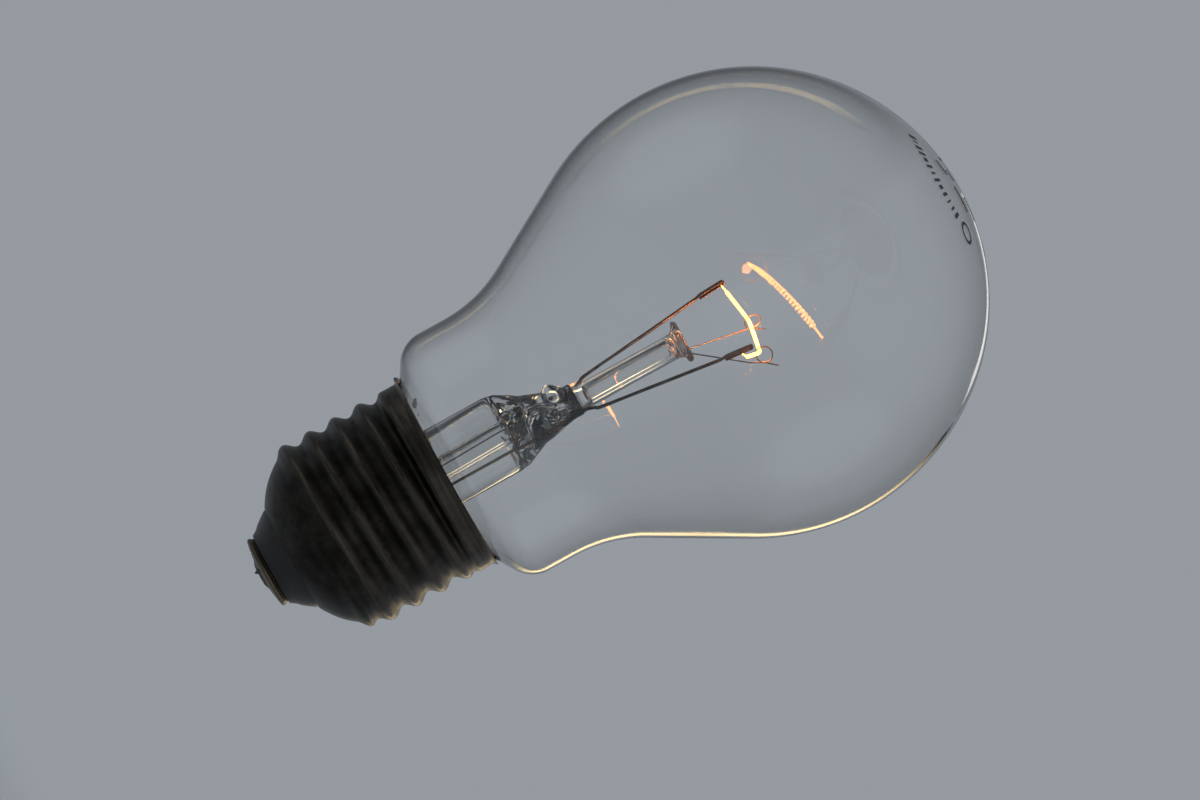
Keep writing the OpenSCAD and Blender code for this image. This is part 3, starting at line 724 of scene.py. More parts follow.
lean_over(stem)
stand_for(stem, "stem_flare", stem_glass, sharp=50)

# %% [markdown]
# ## Exhaust tube, rod and button
# The exhaust tube was melted shut after pumping, so its lower end is a drawn-out point. It is a
# lathe. The rod stands on the press, and its end was melted and pressed into a flat button while
# the two support wires were pushed in, which leaves it lumpy. So it is a stack of rings, the upper
# ones made uneven, and the hollow core of a rod that was drawn from a tube is cut out of it.

# %% Exhaust tube
TUBE_WALL = 0.5
tube_low_h = box_of("exhaust_tube")[0].z
tube_top_h = roof_h - 0.01
tube_outline = ([(AXIS_R, tube_low_h)] + arc((0.5, tube_low_h + 0.6), 0.6, -80, -20, 12)
                + [(1.25, tube_low_h + 2.2), (EXHAUST_R, tube_low_h + 4.2)]
                + [(EXHAUST_R, h) for h in spread(tube_low_h + 5, tube_top_h, 24)]
                + [(EXHAUST_R - TUBE_WALL, h) for h in spread(tube_top_h, tube_low_h + 4.6, 24)]
                + [(0.5, tube_low_h + 2.6), (AXIS_R, tube_low_h + 1.6)])
exhaust = lathe("exhaust_pipe", tube_outline, 96)
lean_over(exhaust)
stand_for(exhaust, "exhaust_tube", stem_glass, sharp=40)

# %% Rod and button
BUTTON_R = 2.8
BUTTON_T = 0.95
BORE_R = 0.95
BUTTON_LUMP = 0.10
BUTTON_WAVE = 0.16
ROD_SIDES = 96
button_low_h = button_top_h - BUTTON_T
rod_low_h = press_top_h + 0.01
rod_outline = ([(AXIS_R, rod_low_h), (ROD_R + 0.25, rod_low_h),
                (ROD_R + 0.22, press_top_h + 0.2), (ROD_R + 0.06, press_top_h + 0.6),
                (ROD_R, press_top_h + 1.1)]
               + [(ROD_R, h) for h in spread(press_top_h + 2, button_low_h - 1.2, 8)]
               + [(ROD_R + 0.05, button_low_h - 0.5), (ROD_R + 0.35, button_low_h - 0.05),
                  (2.3, button_low_h + 0.05)]
               + arc((BUTTON_R - BUTTON_T / 2, button_low_h + BUTTON_T / 2), BUTTON_T / 2 - 0.02,
                     -70, 70, 14)
               + [(r, button_top_h - 0.02 - 0.15 * (1 - r / 2.2))
                  for r in (2.0, 1.5, 1.0, 0.5, AXIS_R)])
rings = []
for r, h in rod_outline:
    ring = circle(r, h, ROD_SIDES)
    soft = smooth_step(button_low_h - 0.6, button_low_h + 0.2, h)
    for point in ring:
        lump = noise.noise(Vector(point) * 1.1) + 0.5 * noise.noise(Vector(point) * 2.6)
        point[:2] *= 1 + BUTTON_LUMP * soft * lump
        point[2] += BUTTON_WAVE * soft * noise.noise(Vector(point) * 1.4 + Vector((7, 3, 1)))
        point[2] = min(point[2], button_top_h)
    rings.append(ring)
rod = skin("rod_and_button", rings)
bore = [(0.3, press_top_h + 0.9), (0.75, press_top_h + 1.1), (BORE_R, press_top_h + 1.6),
        (BORE_R, button_low_h - 1.4), (0.75, button_low_h - 0.9), (0.3, button_low_h - 0.7)]
cut_out(rod, skin("bore", [circle(r, h, ROD_SIDES) for r, h in bore]))
stand_for(rod, "support_rod", button_glass, sharp=60)

# %% [markdown]
# ## The filament's route
# Everything fine in a bulb follows the filament: it runs from clamp 1 over two supports to clamp 2
# in three straight spans with rounded corners. The route is written once, as a function of the
# length along it, and the supports and clamps read their places from it.

# %% Filament route
LEAD_GAP = 7.4
CLAMP_RUN = 4.4
SUPPORT_GAP = 10.2
SUPPORT_OUT = 4.2
COIL_D = 0.46
STRAND_D = 0.16
COIL_PITCH = 0.30
LEG_RUN = 1.1
SUPPORT_D = 0.18
LOOP_D = 2.1
TAIL_RUN = 2
CORNER_RUN = 0.8
TIPS = {-1: Vector((-11.2, 0.6, lead_tip_h + 0.4)), 1: Vector((10.05, 0.6, lead_tip_h - 0.6))}
lead_lean = Vector((0.18, 0.03, 1.0))


def clamp_point(way, below):
    return TIPS[way] - below * Vector((way * lead_lean.x, lead_lean.y, lead_lean.z))


knots = [clamp_point(-1, 0.6),
         Vector((-SUPPORT_GAP / 2, SUPPORT_OUT + 0.1, lead_tip_h + 0.7)),
         Vector((SUPPORT_GAP / 2, SUPPORT_OUT, lead_tip_h - 0.15)),
         clamp_point(1, 1.5) + Vector((0, 1.06, 0)), clamp_point(1, 1.75)]
spans = [(b - a).length for a, b in zip(knots, knots[1:])]
filament_run = sum(spans)


def on_spans(s):
    s = min(max(s, 0.0), filament_run)
    for a, b, span in zip(knots, knots[1:], spans):
        if s <= span:
            return a.lerp(b, s / span)
        s -= span
    return knots[-1].copy()


def on_filament(s):
    """A point of the route. Its corners are rounded by a mean over a short stretch."""
    return sum((on_spans(s + k * CORNER_RUN / 2) for k in (-2, -1, 0, 1, 2)), Vector()) / 5


def filament_tangent(s):
    return (on_filament(s + 0.1) - on_filament(s - 0.1)).normalized()


print("filament", round(filament_run, 2), "mm long, spans", [round(s, 2) for s in spans])

# %% [markdown]
# ## Winding the coil with Geometry Nodes
# A filament is a coil of a coil: tungsten wire finer than a hair is wound into a strand, and the
# strand is wound again. Both windings follow a path in the same way, so one small node group does
# it: it samples the curve it is given, and pushes each sample out from the curve by the coil's
# radius, at an angle that grows with the length. The group is used twice, and then the last curve
# gets its round section. Its radius fades at the ends, where the legs run straight to the clamps.

# %% A node group that winds a curve
def new_tree(name, inputs):
    tree = bpy.data.node_groups.new(name, "GeometryNodeTree")
    tree.interface.new_socket("Geometry", in_out="INPUT", socket_type="NodeSocketGeometry")
    ids = {}
    for label, kind, value in inputs:
        socket = tree.interface.new_socket(label, in_out="INPUT", socket_type=kind)
        if value is not None:
            socket.default_value = value
        ids[label] = socket.identifier
    tree.interface.new_socket("Geometry", in_out="OUTPUT", socket_type="NodeSocketGeometry")
    source = tree.nodes.new("NodeGroupInput")
    start = Wire(tree)
    given = {s.name: Wire(tree, s) for s in source.outputs if s.name}
    return tree, start, given, ids


def end_tree(start, geometry, material=None):
    """A tree that makes a piece ends by making instances real and giving them their material."""
    if material:
        geometry = start.node("GeometryNodeRealizeInstances", None, {"Geometry": geometry})
        geometry = start.node("GeometryNodeSetMaterial", None,
                              {"Geometry": geometry, "Material": material})
    sink = start.tree.nodes.new("NodeGroupOutput")
    start.feed(sink.inputs[0], geometry)


number = "NodeSocketFloat"
winder, start, given, ids = new_tree("wind", [
    ("Radius", number, 0.0002), ("Pitch", number, 0.0006), ("Steps", number, 12.0),
    ("Leg", number, 0.001)])
run = start.node("GeometryNodeCurveLength", None, {"Curve": given["Geometry"]})
count = start.maths("MAXIMUM", run / given["Pitch"] * given["Steps"], 3.0)
curve = start.node("GeometryNodeResampleCurve", None, {"Curve": given["Geometry"], "Count": count})
here = start.node("GeometryNodeSplineParameter", out="Length")
angle = here / given["Pitch"] * (2 * math.pi)
tangent = start.node("GeometryNodeInputTangent")
normal = start.node("GeometryNodeInputNormal")
across = start.vectors("CROSS_PRODUCT", {0: tangent, 1: normal})
swell_in = ((here - given["Leg"]) / given["Pitch"]).ramp(0.0, 1.0)
swell_out = ((run - given["Leg"] - here) / given["Pitch"]).ramp(0.0, 1.0)
reach = given["Radius"] * swell_in * swell_out
part_n = start.vectors("SCALE", {0: normal, "Scale": reach * start.maths("COSINE", angle)})
part_a = start.vectors("SCALE", {0: across, "Scale": reach * start.maths("SINE", angle)})
push = start.vectors("ADD", {0: part_n, 1: part_a})
end_tree(start, start.node("GeometryNodeSetPosition", None, {"Geometry": curve, "Offset": push}))
print("winder has", len(winder.nodes), "nodes")


# %% Wind the filament
def grow(holder, tree, ids, values, name):
    """Runs a tree on a holder once, and keeps what it makes as a plain mesh."""
    modifier = holder.modifiers.new(tree.name, "NODES")
    modifier.node_group = tree
    for label, value in values.items():
        modifier[ids[label]] = value
    evaluated = holder.evaluated_get(bpy.context.evaluated_depsgraph_get())
    mesh = bpy.data.meshes.new_from_object(evaluated)
    bpy.data.objects.remove(holder)
    print(name, "made by nodes", len(mesh.polygons), "faces")
    return put(name, mesh)


coil_tree, start, given, coil_ids = new_tree("coil", [
    ("Coil Radius", number, 0.0), ("Coil Pitch", number, 0.0), ("Strand Radius", number, 0.0),
    ("Strand Pitch", number, 0.0), ("Wire Radius", number, 0.0), ("Leg", number, 0.0),
    ("Material", "NodeSocketMaterial", None)])
first = start.node("GeometryNodeGroup", {"node_tree": winder}, {
    "Geometry": given["Geometry"], "Radius": given["Coil Radius"], "Pitch": given["Coil Pitch"],
    "Steps": 24.0, "Leg": given["Leg"]})
second = start.node("GeometryNodeGroup", {"node_tree": winder}, {
    "Geometry": first, "Radius": given["Strand Radius"], "Pitch": given["Strand Pitch"],
    "Steps": 6.0, "Leg": 0.0})
ring = start.node("GeometryNodeCurvePrimitiveCircle", None,
                  {"Resolution": 5, "Radius": given["Wire Radius"]})
solid = start.node("GeometryNodeCurveToMesh", None,
                   {"Curve": second, "Profile Curve": ring, "Fill Caps": True})
end_tree(start, solid, given["Material"])


def curve_object(name, points):
    data = bpy.data.curves.new(name, "CURVE")
    data.dimensions = "3D"
    spline = data.splines.new("POLY")
    spline.points.add(len(points) - 1)
    for control, point in zip(spline.points, points):
        control.co = (*(Vector(point) * MM), 1)
    return put(name, data)


FINE_R = 0.016
FINE_PITCH = 0.06
route = curve_object("filament_route", [on_filament(s) for s in spread(0, filament_run, 160)])
coil = grow(route, coil_tree, coil_ids, {
    "Coil Radius": (COIL_D - STRAND_D) / 2 * MM, "Coil Pitch": COIL_PITCH * MM,
    "Strand Radius": (STRAND_D / 2 - FINE_R) * MM, "Strand Pitch": FINE_PITCH * MM,
    "Wire Radius": FINE_R * MM, "Leg": LEG_RUN * MM, "Material": hot_filament}, "filament_coil")
coil.data.shade_smooth()
stand_for(coil, "filament")

# %% [markdown]
# ## Leads and clamps
# A lead is a round wire whose end was pressed flat and folded back on itself, over the filament's
# leg. That is one path with a section that changes from round to flat, so one wire() call draws
# the whole lead: up from the press, through two bends, up one leaf of the fold and down the other.

# %% Leads
LEAD_R = 0.225
LEAF_WIDER = 0.2
LEAF_THINNER = 0.115
HALF_FOLD = 0.2


def lead_route(way):
    base, low = LEAD_GAP / 2, clamp_point(way, CLAMP_RUN)
    knee = Vector((way * (base + 1.6), 0, press_top_h + 2.3))
    start_h = press_top_h - 1
    bottom = [Vector((way * base, 0, start_h)), Vector((way * base, 0, press_top_h + 0.1)),
              Vector((way * (base + 0.25), 0, press_top_h + 0.7)),
              Vector((way * (base + 0.9), 0, press_top_h + 1.5)), knee]
    return bottom + [knee.lerp(low, 0.35), knee.lerp(low, 0.7), low]


def folded_lead(way, apart):
    """A lead's path, and how its section changes along it. apart is half the gap of the fold."""
    shank = along(lead_route(way), 8)
    low, high = clamp_point(way, CLAMP_RUN), clamp_point(way, 0)
    axis = (high - low).normalized()
    turn_r = apart.length
    leaf_run = (high - low).length - turn_r - 0.1
    top = low + axis * leaf_run
    leaf = [low + axis * leaf_run * t - apart * smooth_step(0.0, 0.25, t)
            for t in spread(0.1, 1, 16)]
    fold = [top + turn_r * (axis * math.sin(a) - apart.normalized() * math.cos(a))
            for a in spread(0, math.pi, 9)[1:-1]]
    other_leaf = [top - axis * leaf_run * 0.86 * t + apart * (1 + 0.25 * t * t)
                  for t in spread(0, 1, 14)]
    route = shank + leaf + fold + other_leaf
    lengths = np.cumsum([0] + [(b - a).length for a, b in zip(route, route[1:])])
    shares = (lengths / lengths[-1]).tolist()
    round_until = shares[len(shank) - 1]

    def section(share):
        here = shares[round(share * (len(route) - 1))]
        flat = smooth_step(round_until - 0.015, round_until + 0.02, here)
        return LEAD_R + flat * LEAF_WIDER, LEAD_R - flat * LEAF_THINNER
    return route, section


for i, way in ((1, -1), (2, 1)):
    route, section = folded_lead(way, Vector((0, HALF_FOLD, 0)))
    lead = wire(f"lead_and_clamp_{i}", route, section, 20)
    stand_for(lead, f"inner_lead_{i}", lead_metal)

# %% [markdown]
# ## Supports
# Each support wire is set in the button, leans out to the filament, makes one turn around it and
# ends in a short tail. The turn lies square across the filament, so its plane comes from the
# filament's own direction.

# %% Supports
FOOT_ANGLES = (124, 66)
FOOT_RADII = (0.84 * BUTTON_R - SUPPORT_D, 0.84 * BUTTON_R - 2 * SUPPORT_D)
FOOT_DEPTH = 0.7


def foot(i):
    angle, radius = math.radians(FOOT_ANGLES[i]), FOOT_RADII[i]
    return Vector((radius * math.cos(angle), radius * math.sin(angle), button_top_h))


def loop_point(i, angle):
    s = spans[0] + i * spans[1]
    tangent = filament_tangent(s)
    out = up.cross(tangent).normalized()
    rise = tangent.cross(out)
    reach = LOOP_D / 2 - SUPPORT_D / 2 - COIL_D / 2 - 0.02
    centre = on_filament(s) + reach * (out + 0.7 * rise).normalized()
    a = math.radians(angle)
    return (centre + LOOP_D / 2 * (math.cos(a) * out + math.sin(a) * rise)
            + SUPPORT_D * (angle / 360 - 0.5) * tangent)


def support_route(i):
    first, last = loop_point(i, -20), loop_point(i, 330)
    start_way = (loop_point(i, -10) - first).normalized()
    end_way = (last - loop_point(i, 320)).normalized()
    lean = Vector((foot(i).x, foot(i).y, 0)).normalized() * 0.35 + 0.5 * up
    shank = [foot(i) - FOOT_DEPTH * up, foot(i), foot(i) + lean, first - 1.1 * start_way]
    loop = [loop_point(i, a) for a in spread(-20, 330, 40)]
    tail = [last + TAIL_RUN * t * end_way - 0.12 * t * t * up for t in (0.35, 0.7, 1)]
    return along(shank, 6)[:-1] + loop + tail


for i in range(2):
    support = wire(f"support_hook_{i + 1}", support_route(i),
                   lambda share: (SUPPORT_D / 2, SUPPORT_D / 2), 12)
    stand_for(support, f"support_wire_{i + 1}", support_metal)

# %% [markdown]
# ## The screw shell
# The shell is a drawn cup with its thread rolled in afterwards, and it is made here in that order.
# A lathe turns the plain cup, thin wall and all. A Geometry Nodes tree then rolls the thread: each
# point moves out by a wave that climbs one pitch for each turn, and that fades out at both ends.
# The same tree adds the small dents of years of use.

# %% Plain cup
VALLEY_R = 12.1
COLLAR_R = 13.0
SHELL_WALL = 0.3
LIP_OUT = 0.45
LIP_H = 0.6
THREAD_DEPTH = 1.0
THREAD_PITCH = 3.629
CREST_H = 21.4
CUP_BULGE = 2.0
DENT = 0.22
RIM_SIDE_ANGLE = 245
collar_low_h = rim_h - 2.3
shoulder_top = np.array([VALLEY_R, 9.6])
shoulder_foot = np.array([7.25, shell_low_h])


def cup_side(inset):
    points = []
    slope = shoulder_top - shoulder_foot
    out = np.array([slope[1], -slope[0]]) / np.linalg.norm(slope)
    for t in spread(0, 1, 18)[:-1]:
        points.append(shoulder_foot + slope * t + (CUP_BULGE * t * (1 - t) - inset) * out)
    for h in spread(shoulder_top[1], collar_low_h, 96):
        fade = smooth_step(collar_low_h - 1.1, collar_low_h, h)
        points.append((VALLEY_R + fade * (COLLAR_R - VALLEY_R) - inset, h))
    points += [(COLLAR_R - inset, h) for h in spread(collar_low_h, rim_h - LIP_H, 6)[1:]]
    points += [(COLLAR_R + LIP_OUT * t ** 1.6 - inset, rim_h - LIP_H * (1 - t))
               for t in spread(0, 1, 8)[1:]]
    return points


cup = lathe("screw_shell", cup_side(0.0) + cup_side(SHELL_WALL)[::-1], 256)

# %% Roll the thread
roller, start, given, ids = new_tree("roll_thread", [
    ("Depth", number, 0.0), ("Pitch", number, 1.0), ("Crest Height", number, 0.0),
    ("Crest Angle", number, 0.0), ("Low", number, 0.0), ("High", number, 0.0),
    ("Fade", number, 0.0), ("Dent", number, 0.0), ("Material", "NodeSocketMaterial", None)])
here = start.node("GeometryNodeInputPosition")
x, y, z = parts_of(start, here)[:3]
turned = start.maths("ARCTAN2", y, x) - given["Crest Angle"]
phase = (z - given["Crest Height"]) / given["Pitch"] * (2 * math.pi) - turned
wave = (start.maths("COSINE", phase) + 1.0) * 0.5
share = ((z - given["Low"]) / given["Fade"]).ramp(0.0, 1.0) * (
    (given["High"] - z) / given["Fade"]).ramp(0.0, 0.55)
dent = start.node("ShaderNodeTexNoise", None, {"Vector": here, "Scale": 160.0, "Detail": 2.0})
reach = given["Depth"] * share * wave + (dent - 0.5) * given["Dent"]
outward = start.vectors("NORMALIZE", {0: start.node("ShaderNodeCombineXYZ", None, {0: x, 1: y})})
push = start.vectors("SCALE", {0: outward, "Scale": reach})
moved = start.node("GeometryNodeSetPosition", None, {"Geometry": given["Geometry"], "Offset": push})
end_tree(start, moved, given["Material"])

shell = grow(cup, roller, ids, {
    "Depth": THREAD_DEPTH * MM, "Pitch": THREAD_PITCH * MM, "Crest Height": CREST_H * MM,
    "Crest Angle": math.radians(RIM_SIDE_ANGLE), "Low": (shoulder_top[1] - 1.6) * MM,
    "High": collar_low_h * MM, "Fade": 2.0 * MM, "Dent": DENT * MM, "Material": cap_metal},
    "threaded_shell")
shell.data.shade_smooth()
stand_for(shell, "cap_shell", sharp=55)

# %% [markdown]
# ## Insulator, contact and solder
# Under the shell, molten black glass was poured around the contact plate, which holds the two
# together and apart. The plate is a shallow stamped dome with an eyelet. The centre lead comes out
# through the eyelet and is soldered over. Sockets have rubbed the solder flat, and the iron left a
# small spike when it was pulled away.

# %% Insulator and plate
PLATE_R = 4.8
insulator_outline = ([(1.5, CONTACT_TOP_H + 0.02), (PLATE_R, CONTACT_TOP_H + 0.02)]
                     + arc((PLATE_R - 0.05, CONTACT_TOP_H + 0.25), 0.25, -60, -10, 10)
                     + [(5.35, CONTACT_TOP_H + 0.75), (5.9, 2.95), (6.5, 3.75), (6.95, 4.4),
                        (7.06, 4.85), (8.2, 5.6), (9.6, 6.75), (11.0, 8.35), (6.0, 7.4),
                        (3.0, 7.2), (1.5, 3.5)])
insulator = lathe("black_insulator", insulator_outline, 128)
stand_for(insulator, "cap_insulator", black_glass, sharp=35)


def dome_h(r):
    return 0.2 + 0.55 * (r / PLATE_R) ** 2


plate_outline = ([(0.8, dome_h(0.8))] + [(r, dome_h(r)) for r in spread(1.0, 4.5, 12)]
                 + arc((4.5, 1.02), 0.3, -60, 60, 12)
                 + [(4.55, CONTACT_TOP_H - 0.08), (4.3, CONTACT_TOP_H), (1.5, CONTACT_TOP_H),
                    (1.5, CONTACT_TOP_H + 1.5), (0.8, CONTACT_TOP_H + 1.5)])
plate = lathe("contact_button", plate_outline, 128)
stand_for(plate, "contact_plate", contact_metal, sharp=40)

# %% Solder on the contact
SOLDER_R = 2.15
WORN_R = 1.25
SPIKE_R = 1.66
SPIKE_ANGLE = math.radians(-46)
SPIKE_RUN = 0.6
SPIKE_FOOT_R = 0.42
spike = (SPIKE_R * math.cos(SPIKE_ANGLE), SPIKE_R * math.sin(SPIKE_ANGLE))
rings = []
for r in [0.02] + spread(0.3, 2.5, 26):
    ring = circle(r, 0, 96)
    for point in ring:
        angle = math.atan2(point[1], point[0])
        reach = SOLDER_R + 0.22 * noise.noise(Vector((math.cos(angle), math.sin(angle), 0.3)) * 1.7)
        point[:2] *= reach / 2.5
        out = math.hypot(point[0], point[1])
        point[2] = dome_h(out) * smooth_step(WORN_R, reach, out) ** 0.8 + 0.004
        from_spike = math.hypot(point[0] - spike[0], point[1] - spike[1])
        point[2] -= SPIKE_RUN * max(0.0, 1 - from_spike / SPIKE_FOOT_R) ** 1.4
        if out > WORN_R - 0.05:
            point[2] += 0.02 * noise.noise(Vector(point) * 2.5)
    rings.append(ring[::-1])
rings.append(rings[-1] * np.array([1, 1, 0]) + np.array([0, 0, 0.6]))
rings.append(rings[-1] * np.array([0.02, 0.02, 1]))
tip = skin("contact_solder", rings)
outwards = bmesh.new()
outwards.from_mesh(tip.data)
bmesh.ops.recalc_face_normals(outwards, faces=outwards.faces)
outwards.to_mesh(tip.data)
outwards.free()
stand_for(tip, "tip_solder", solder, sharp=50)

# %% Solder at the rim
DROP_SIZE = (0.75, 0.62, 0.34)
low, high = box_of("rim_solder")
centre = (low + high) / 2
centre.z = rim_h + 0.02
out = Vector((centre.x, centre.y, 0)).normalized()
drop_axes = (out, up.cross(out), up)
blob = bmesh.new()
bmesh.ops.create_icosphere(blob, subdivisions=4, radius=1.0)
for vertex in blob.verts:
    size = 1 + 0.25 * noise.noise(vertex.co * 1.3)
    offset = sum((s * c * axis for s, c, axis in zip(DROP_SIZE, vertex.co, drop_axes)), Vector())
    vertex.co = (centre + size * offset) * MM
rim_mesh = bpy.data.meshes.new("rim_solder_drop")
blob.to_mesh(rim_mesh)
blob.free()
rim_mesh.shade_smooth()
stand_for(put("rim_solder_drop", rim_mesh), "rim_solder", solder)

# %% [markdown]
# ## Pieces that keep their solids
# The wires inside the press and the flare, and the ring of cement, have the right shape already.
# They only need their finish, which takes the place of the plain one that they came with.

# %% Finish the carried pieces
carried = {"seal_wire_1": seal_metal, "seal_wire_2": seal_metal, "outer_lead_1": copper_lead,
           "outer_lead_2": copper_lead, "basing_cement": cement}
for node, material in carried.items():
    nodes[node].data.materials.clear()
    nodes[node].data.materials.append(material)
print("finished", len(carried), "carried pieces")

# %% [markdown]
# ## The print on the crown
# A bulb carries a small stamp on its crown. This one has plain marks in its place: an arc of short
# strokes, a ring and a few bars. What repeats is made by Geometry Nodes: strokes are put on points
# along an arc and turned to face its middle, and everything is then laid on the round glass, by
# giving each point the height of the sphere there.

# %% Stamp the crown
ROW_R = 11.8
ROW_START = VIEW_DEGREES - 136
ROW_SWEEP = 60
STROKES = 13
INK_LIFT = 0.006
stamp, start, given, ids = new_tree("stamp", [
    ("Globe Radius", number, 0.0), ("Globe Height", number, 0.0), ("Arc Radius", number, 0.0),
    ("Strokes", "NodeSocketInt", 1), ("Seed", "NodeSocketInt", 0),
    ("Material", "NodeSocketMaterial", None)])
row = start.node("GeometryNodeCurveArc", {"mode": "RADIUS"}, {
    "Resolution": given["Strokes"], "Radius": given["Arc Radius"],
    "Start Angle": math.radians(ROW_START), "Sweep Angle": math.radians(ROW_SWEEP)})
marks = start.node("GeometryNodeCurveToPoints", {"mode": "COUNT"},
                   {"Curve": row, "Count": given["Strokes"]})
turned = marks.out("Rotation")
stroke = start.node("GeometryNodeMeshGrid", None,
                    {"Size X": 0.0014, "Size Y": 0.00034, "Vertices X": 6, "Vertices Y": 3})
long_or_short = start.node("FunctionNodeRandomValue", {"data_type": "FLOAT_VECTOR"}, {
    "Min": (0.6, 0.7, 1.0), "Max": (1.1, 2.0, 1.0), "Seed": given["Seed"]})
flat = start.node("FunctionNodeRotateRotation", {"rotation_space": "LOCAL"},
                  {"Rotation": turned, "Rotate By": (math.radians(90), 0.0, 0.0)})
placed = start.node("GeometryNodeInstanceOnPoints", None, {
    "Points": marks, "Instance": stroke, "Rotation": flat, "Scale": long_or_short})
placed = start.node("GeometryNodeRealizeInstances", None, {"Geometry": placed})
join = start.node("GeometryNodeJoinGeometry")
for layer in (given["Geometry"], placed):
    start.feed(join.socket.node.inputs[0], layer)
x, y = parts_of(start, start.node("GeometryNodeInputPosition"))[:2]
drop_h = start.maths("SQRT", given["Globe Radius"] * given["Globe Radius"] - x * x - y * y)
on_glass = start.node("ShaderNodeCombineXYZ", None, {0: x, 1: y, 2: given["Globe Height"] + drop_h})
laid = start.node("GeometryNodeSetPosition", None, {"Geometry": join, "Position": on_glass})
end_tree(start, laid, given["Material"])


def mark(mesh, centre, turn_angle, shape):
    """Adds a ring or a bar to the flat print, as a strip of small faces."""
    base = len(mesh["points"])
    kind, size_a, size_b = shape
    steps = 40 if kind == "ring" else 8
    for k in range(steps + 1):
        for edge in (-0.5, 0.5):
            if kind == "ring":
                angle = 2 * math.pi * k / steps
                reach = size_a + edge * size_b
                p = (reach * math.cos(angle), 0.82 * reach * math.sin(angle))
            else:
                p = (size_a * (k / steps - 0.5), edge * size_b)
            c, s = math.cos(turn_angle), math.sin(turn_angle)
            mesh["points"].append((centre[0] + c * p[0] - s * p[1],
                                   centre[1] + s * p[0] + c * p[1], 0))
    for k in range(steps):
        a = base + 2 * k
        mesh["faces"].append((a, a + 2, a + 3, a + 1))


flat_print = {"points": [], "faces": []}
mark(flat_print, (5.4, -10.3), 0.2, ("ring", 1.3, 0.45))
for centre, turn_angle, run, width in (
        ((1.3, -6.6), 0.1, 3.6, 0.6), ((3.0, -3.8), 0.1, 3.4, 0.6), ((4.6, 0.4), 0.1, 3.2, 0.6),
        ((-3.4, -7.0), 0.2, 2.4, 0.5), ((-2.0, -5.0), 0.2, 1.8, 0.5), ((8.4, -1.0), 0.3, 2.0, 0.5),
        ((-4.4, -3.6), 1.4, 1.6, 0.4)):
    mark(flat_print, centre, turn_angle, ("bar", run, width))
to_camera = Matrix.Rotation(VIEW_AZIMUTH, 3, "Z")
flat_points = [to_camera @ Vector(p) for p in flat_print["points"]]
print_base = new_piece("crown_print_base", flat_points, flat_print["faces"], smooth=False)
print_marks = grow(print_base, stamp, ids, {
    "Globe Radius": (globe_r + INK_LIFT) * MM, "Globe Height": globe_h * MM,
    "Arc Radius": ROW_R * MM, "Strokes": STROKES, "Seed": 4, "Material": ink}, "crown_print")


def thicken(piece, thickness, offset):
    """Makes flat marks a thin layer. It grows the way its faces point if offset is 1, or back."""
    layer = piece.modifiers.new("layer", "SOLIDIFY")
    layer.thickness = thickness * MM
    layer.offset = offset
    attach(piece, "root")
    print(piece.name, len(piece.data.polygons), "flat faces")


thicken(print_marks, 0.012, 1)

# %% [markdown]
# ## Smudges by the rim
# A few grey smudges were left on the shoulder of the glass when the cap was put on. Each is a
# ragged patch with its own place, given across the view, towards the back and by its height. It
# lies on the slope of the shoulder, just off the glass, and has a thickness of its own, because a
# patch painted into the glass would be bent and tinted with it.

# %% Smudges by the rim
SMUDGE_SIDES = 18
SMUDGE_LIFT = 0.05
points, faces = [], []


def smudge_mark(across, toward_back, height, wide, tall):
    radius = math.hypot(across, toward_back)
    out = (across * side + toward_back * depth) / radius
    slope = math.radians(SHOULDER_ANGLE)
    upward = math.sin(slope) * out + math.cos(slope) * up
    normal = math.cos(slope) * out - math.sin(slope) * up
    glass_r = RIM_GLASS_R + (height - rim_h) * tan_shoulder
    middle = glass_r * out + height * up + SMUDGE_LIFT * normal
    faces.append(tuple(range(len(points), len(points) + SMUDGE_SIDES)))
    for k in range(SMUDGE_SIDES):
        a = 2 * math.pi * k / SMUDGE_SIDES
        ragged = 1 + 0.45 * noise.noise(Vector((3 * math.cos(a), 3 * math.sin(a), height)))
        points.append(middle + ragged * (wide * math.cos(a) * out.cross(up)
                                         + tall * math.sin(a) * upward))


for place_and_size in (
        (-11.9, -5.7, 27.75, 0.85, 0.42), (-11.3, -6.9, 27.6, 0.4, 0.3),
        (-9.5, -10.2, 28.05, 0.62, 0.75), (-9.7, -9.8, 27.7, 0.35, 0.3),
        (-8.4, -11.2, 27.7, 0.14, 0.16), (-12.3, -6.0, 28.1, 0.2, 0.2)):
    smudge_mark(*place_and_size)
specks = new_piece("smudges", points, faces, smooth=False)
specks.data.materials.append(smudge)
thicken(specks, 0.02, -1)

# %% [markdown]
# ## Floor and background
# The ground is plain and pale. The floor fades out with distance, so that no horizon cuts through
# the tipped view, and it still takes the shadow near the bulb. The background is the same tone for
# the camera, for mirror rays and for rays that pass the glass, and a soft even sky lights the rest.
# Clear glass shows only by what it mirrors and bends. So for the rays that come by way of glass or
# metal one side of the background is darker, and draws the thin dark lines along the edges.

# %% Floor
PALE = (0.30, 0.325, 0.352)
FLOOR_H = -60
FLOOR_REACH = 0.7
FLOOR_FADE = (0.10, 0.42)


def panel(name, half_wide, half_tall):
    """A flat sheet that isn't part of the bulb."""
    mesh = bpy.data.meshes.new(name)
    mesh.from_pydata([(-half_wide, -half_tall, 0), (half_wide, -half_tall, 0),
                      (half_wide, half_tall, 0), (-half_wide, half_tall, 0)], [], [(0, 1, 2, 3)])
    sheet = put(name, mesh)
    return sheet


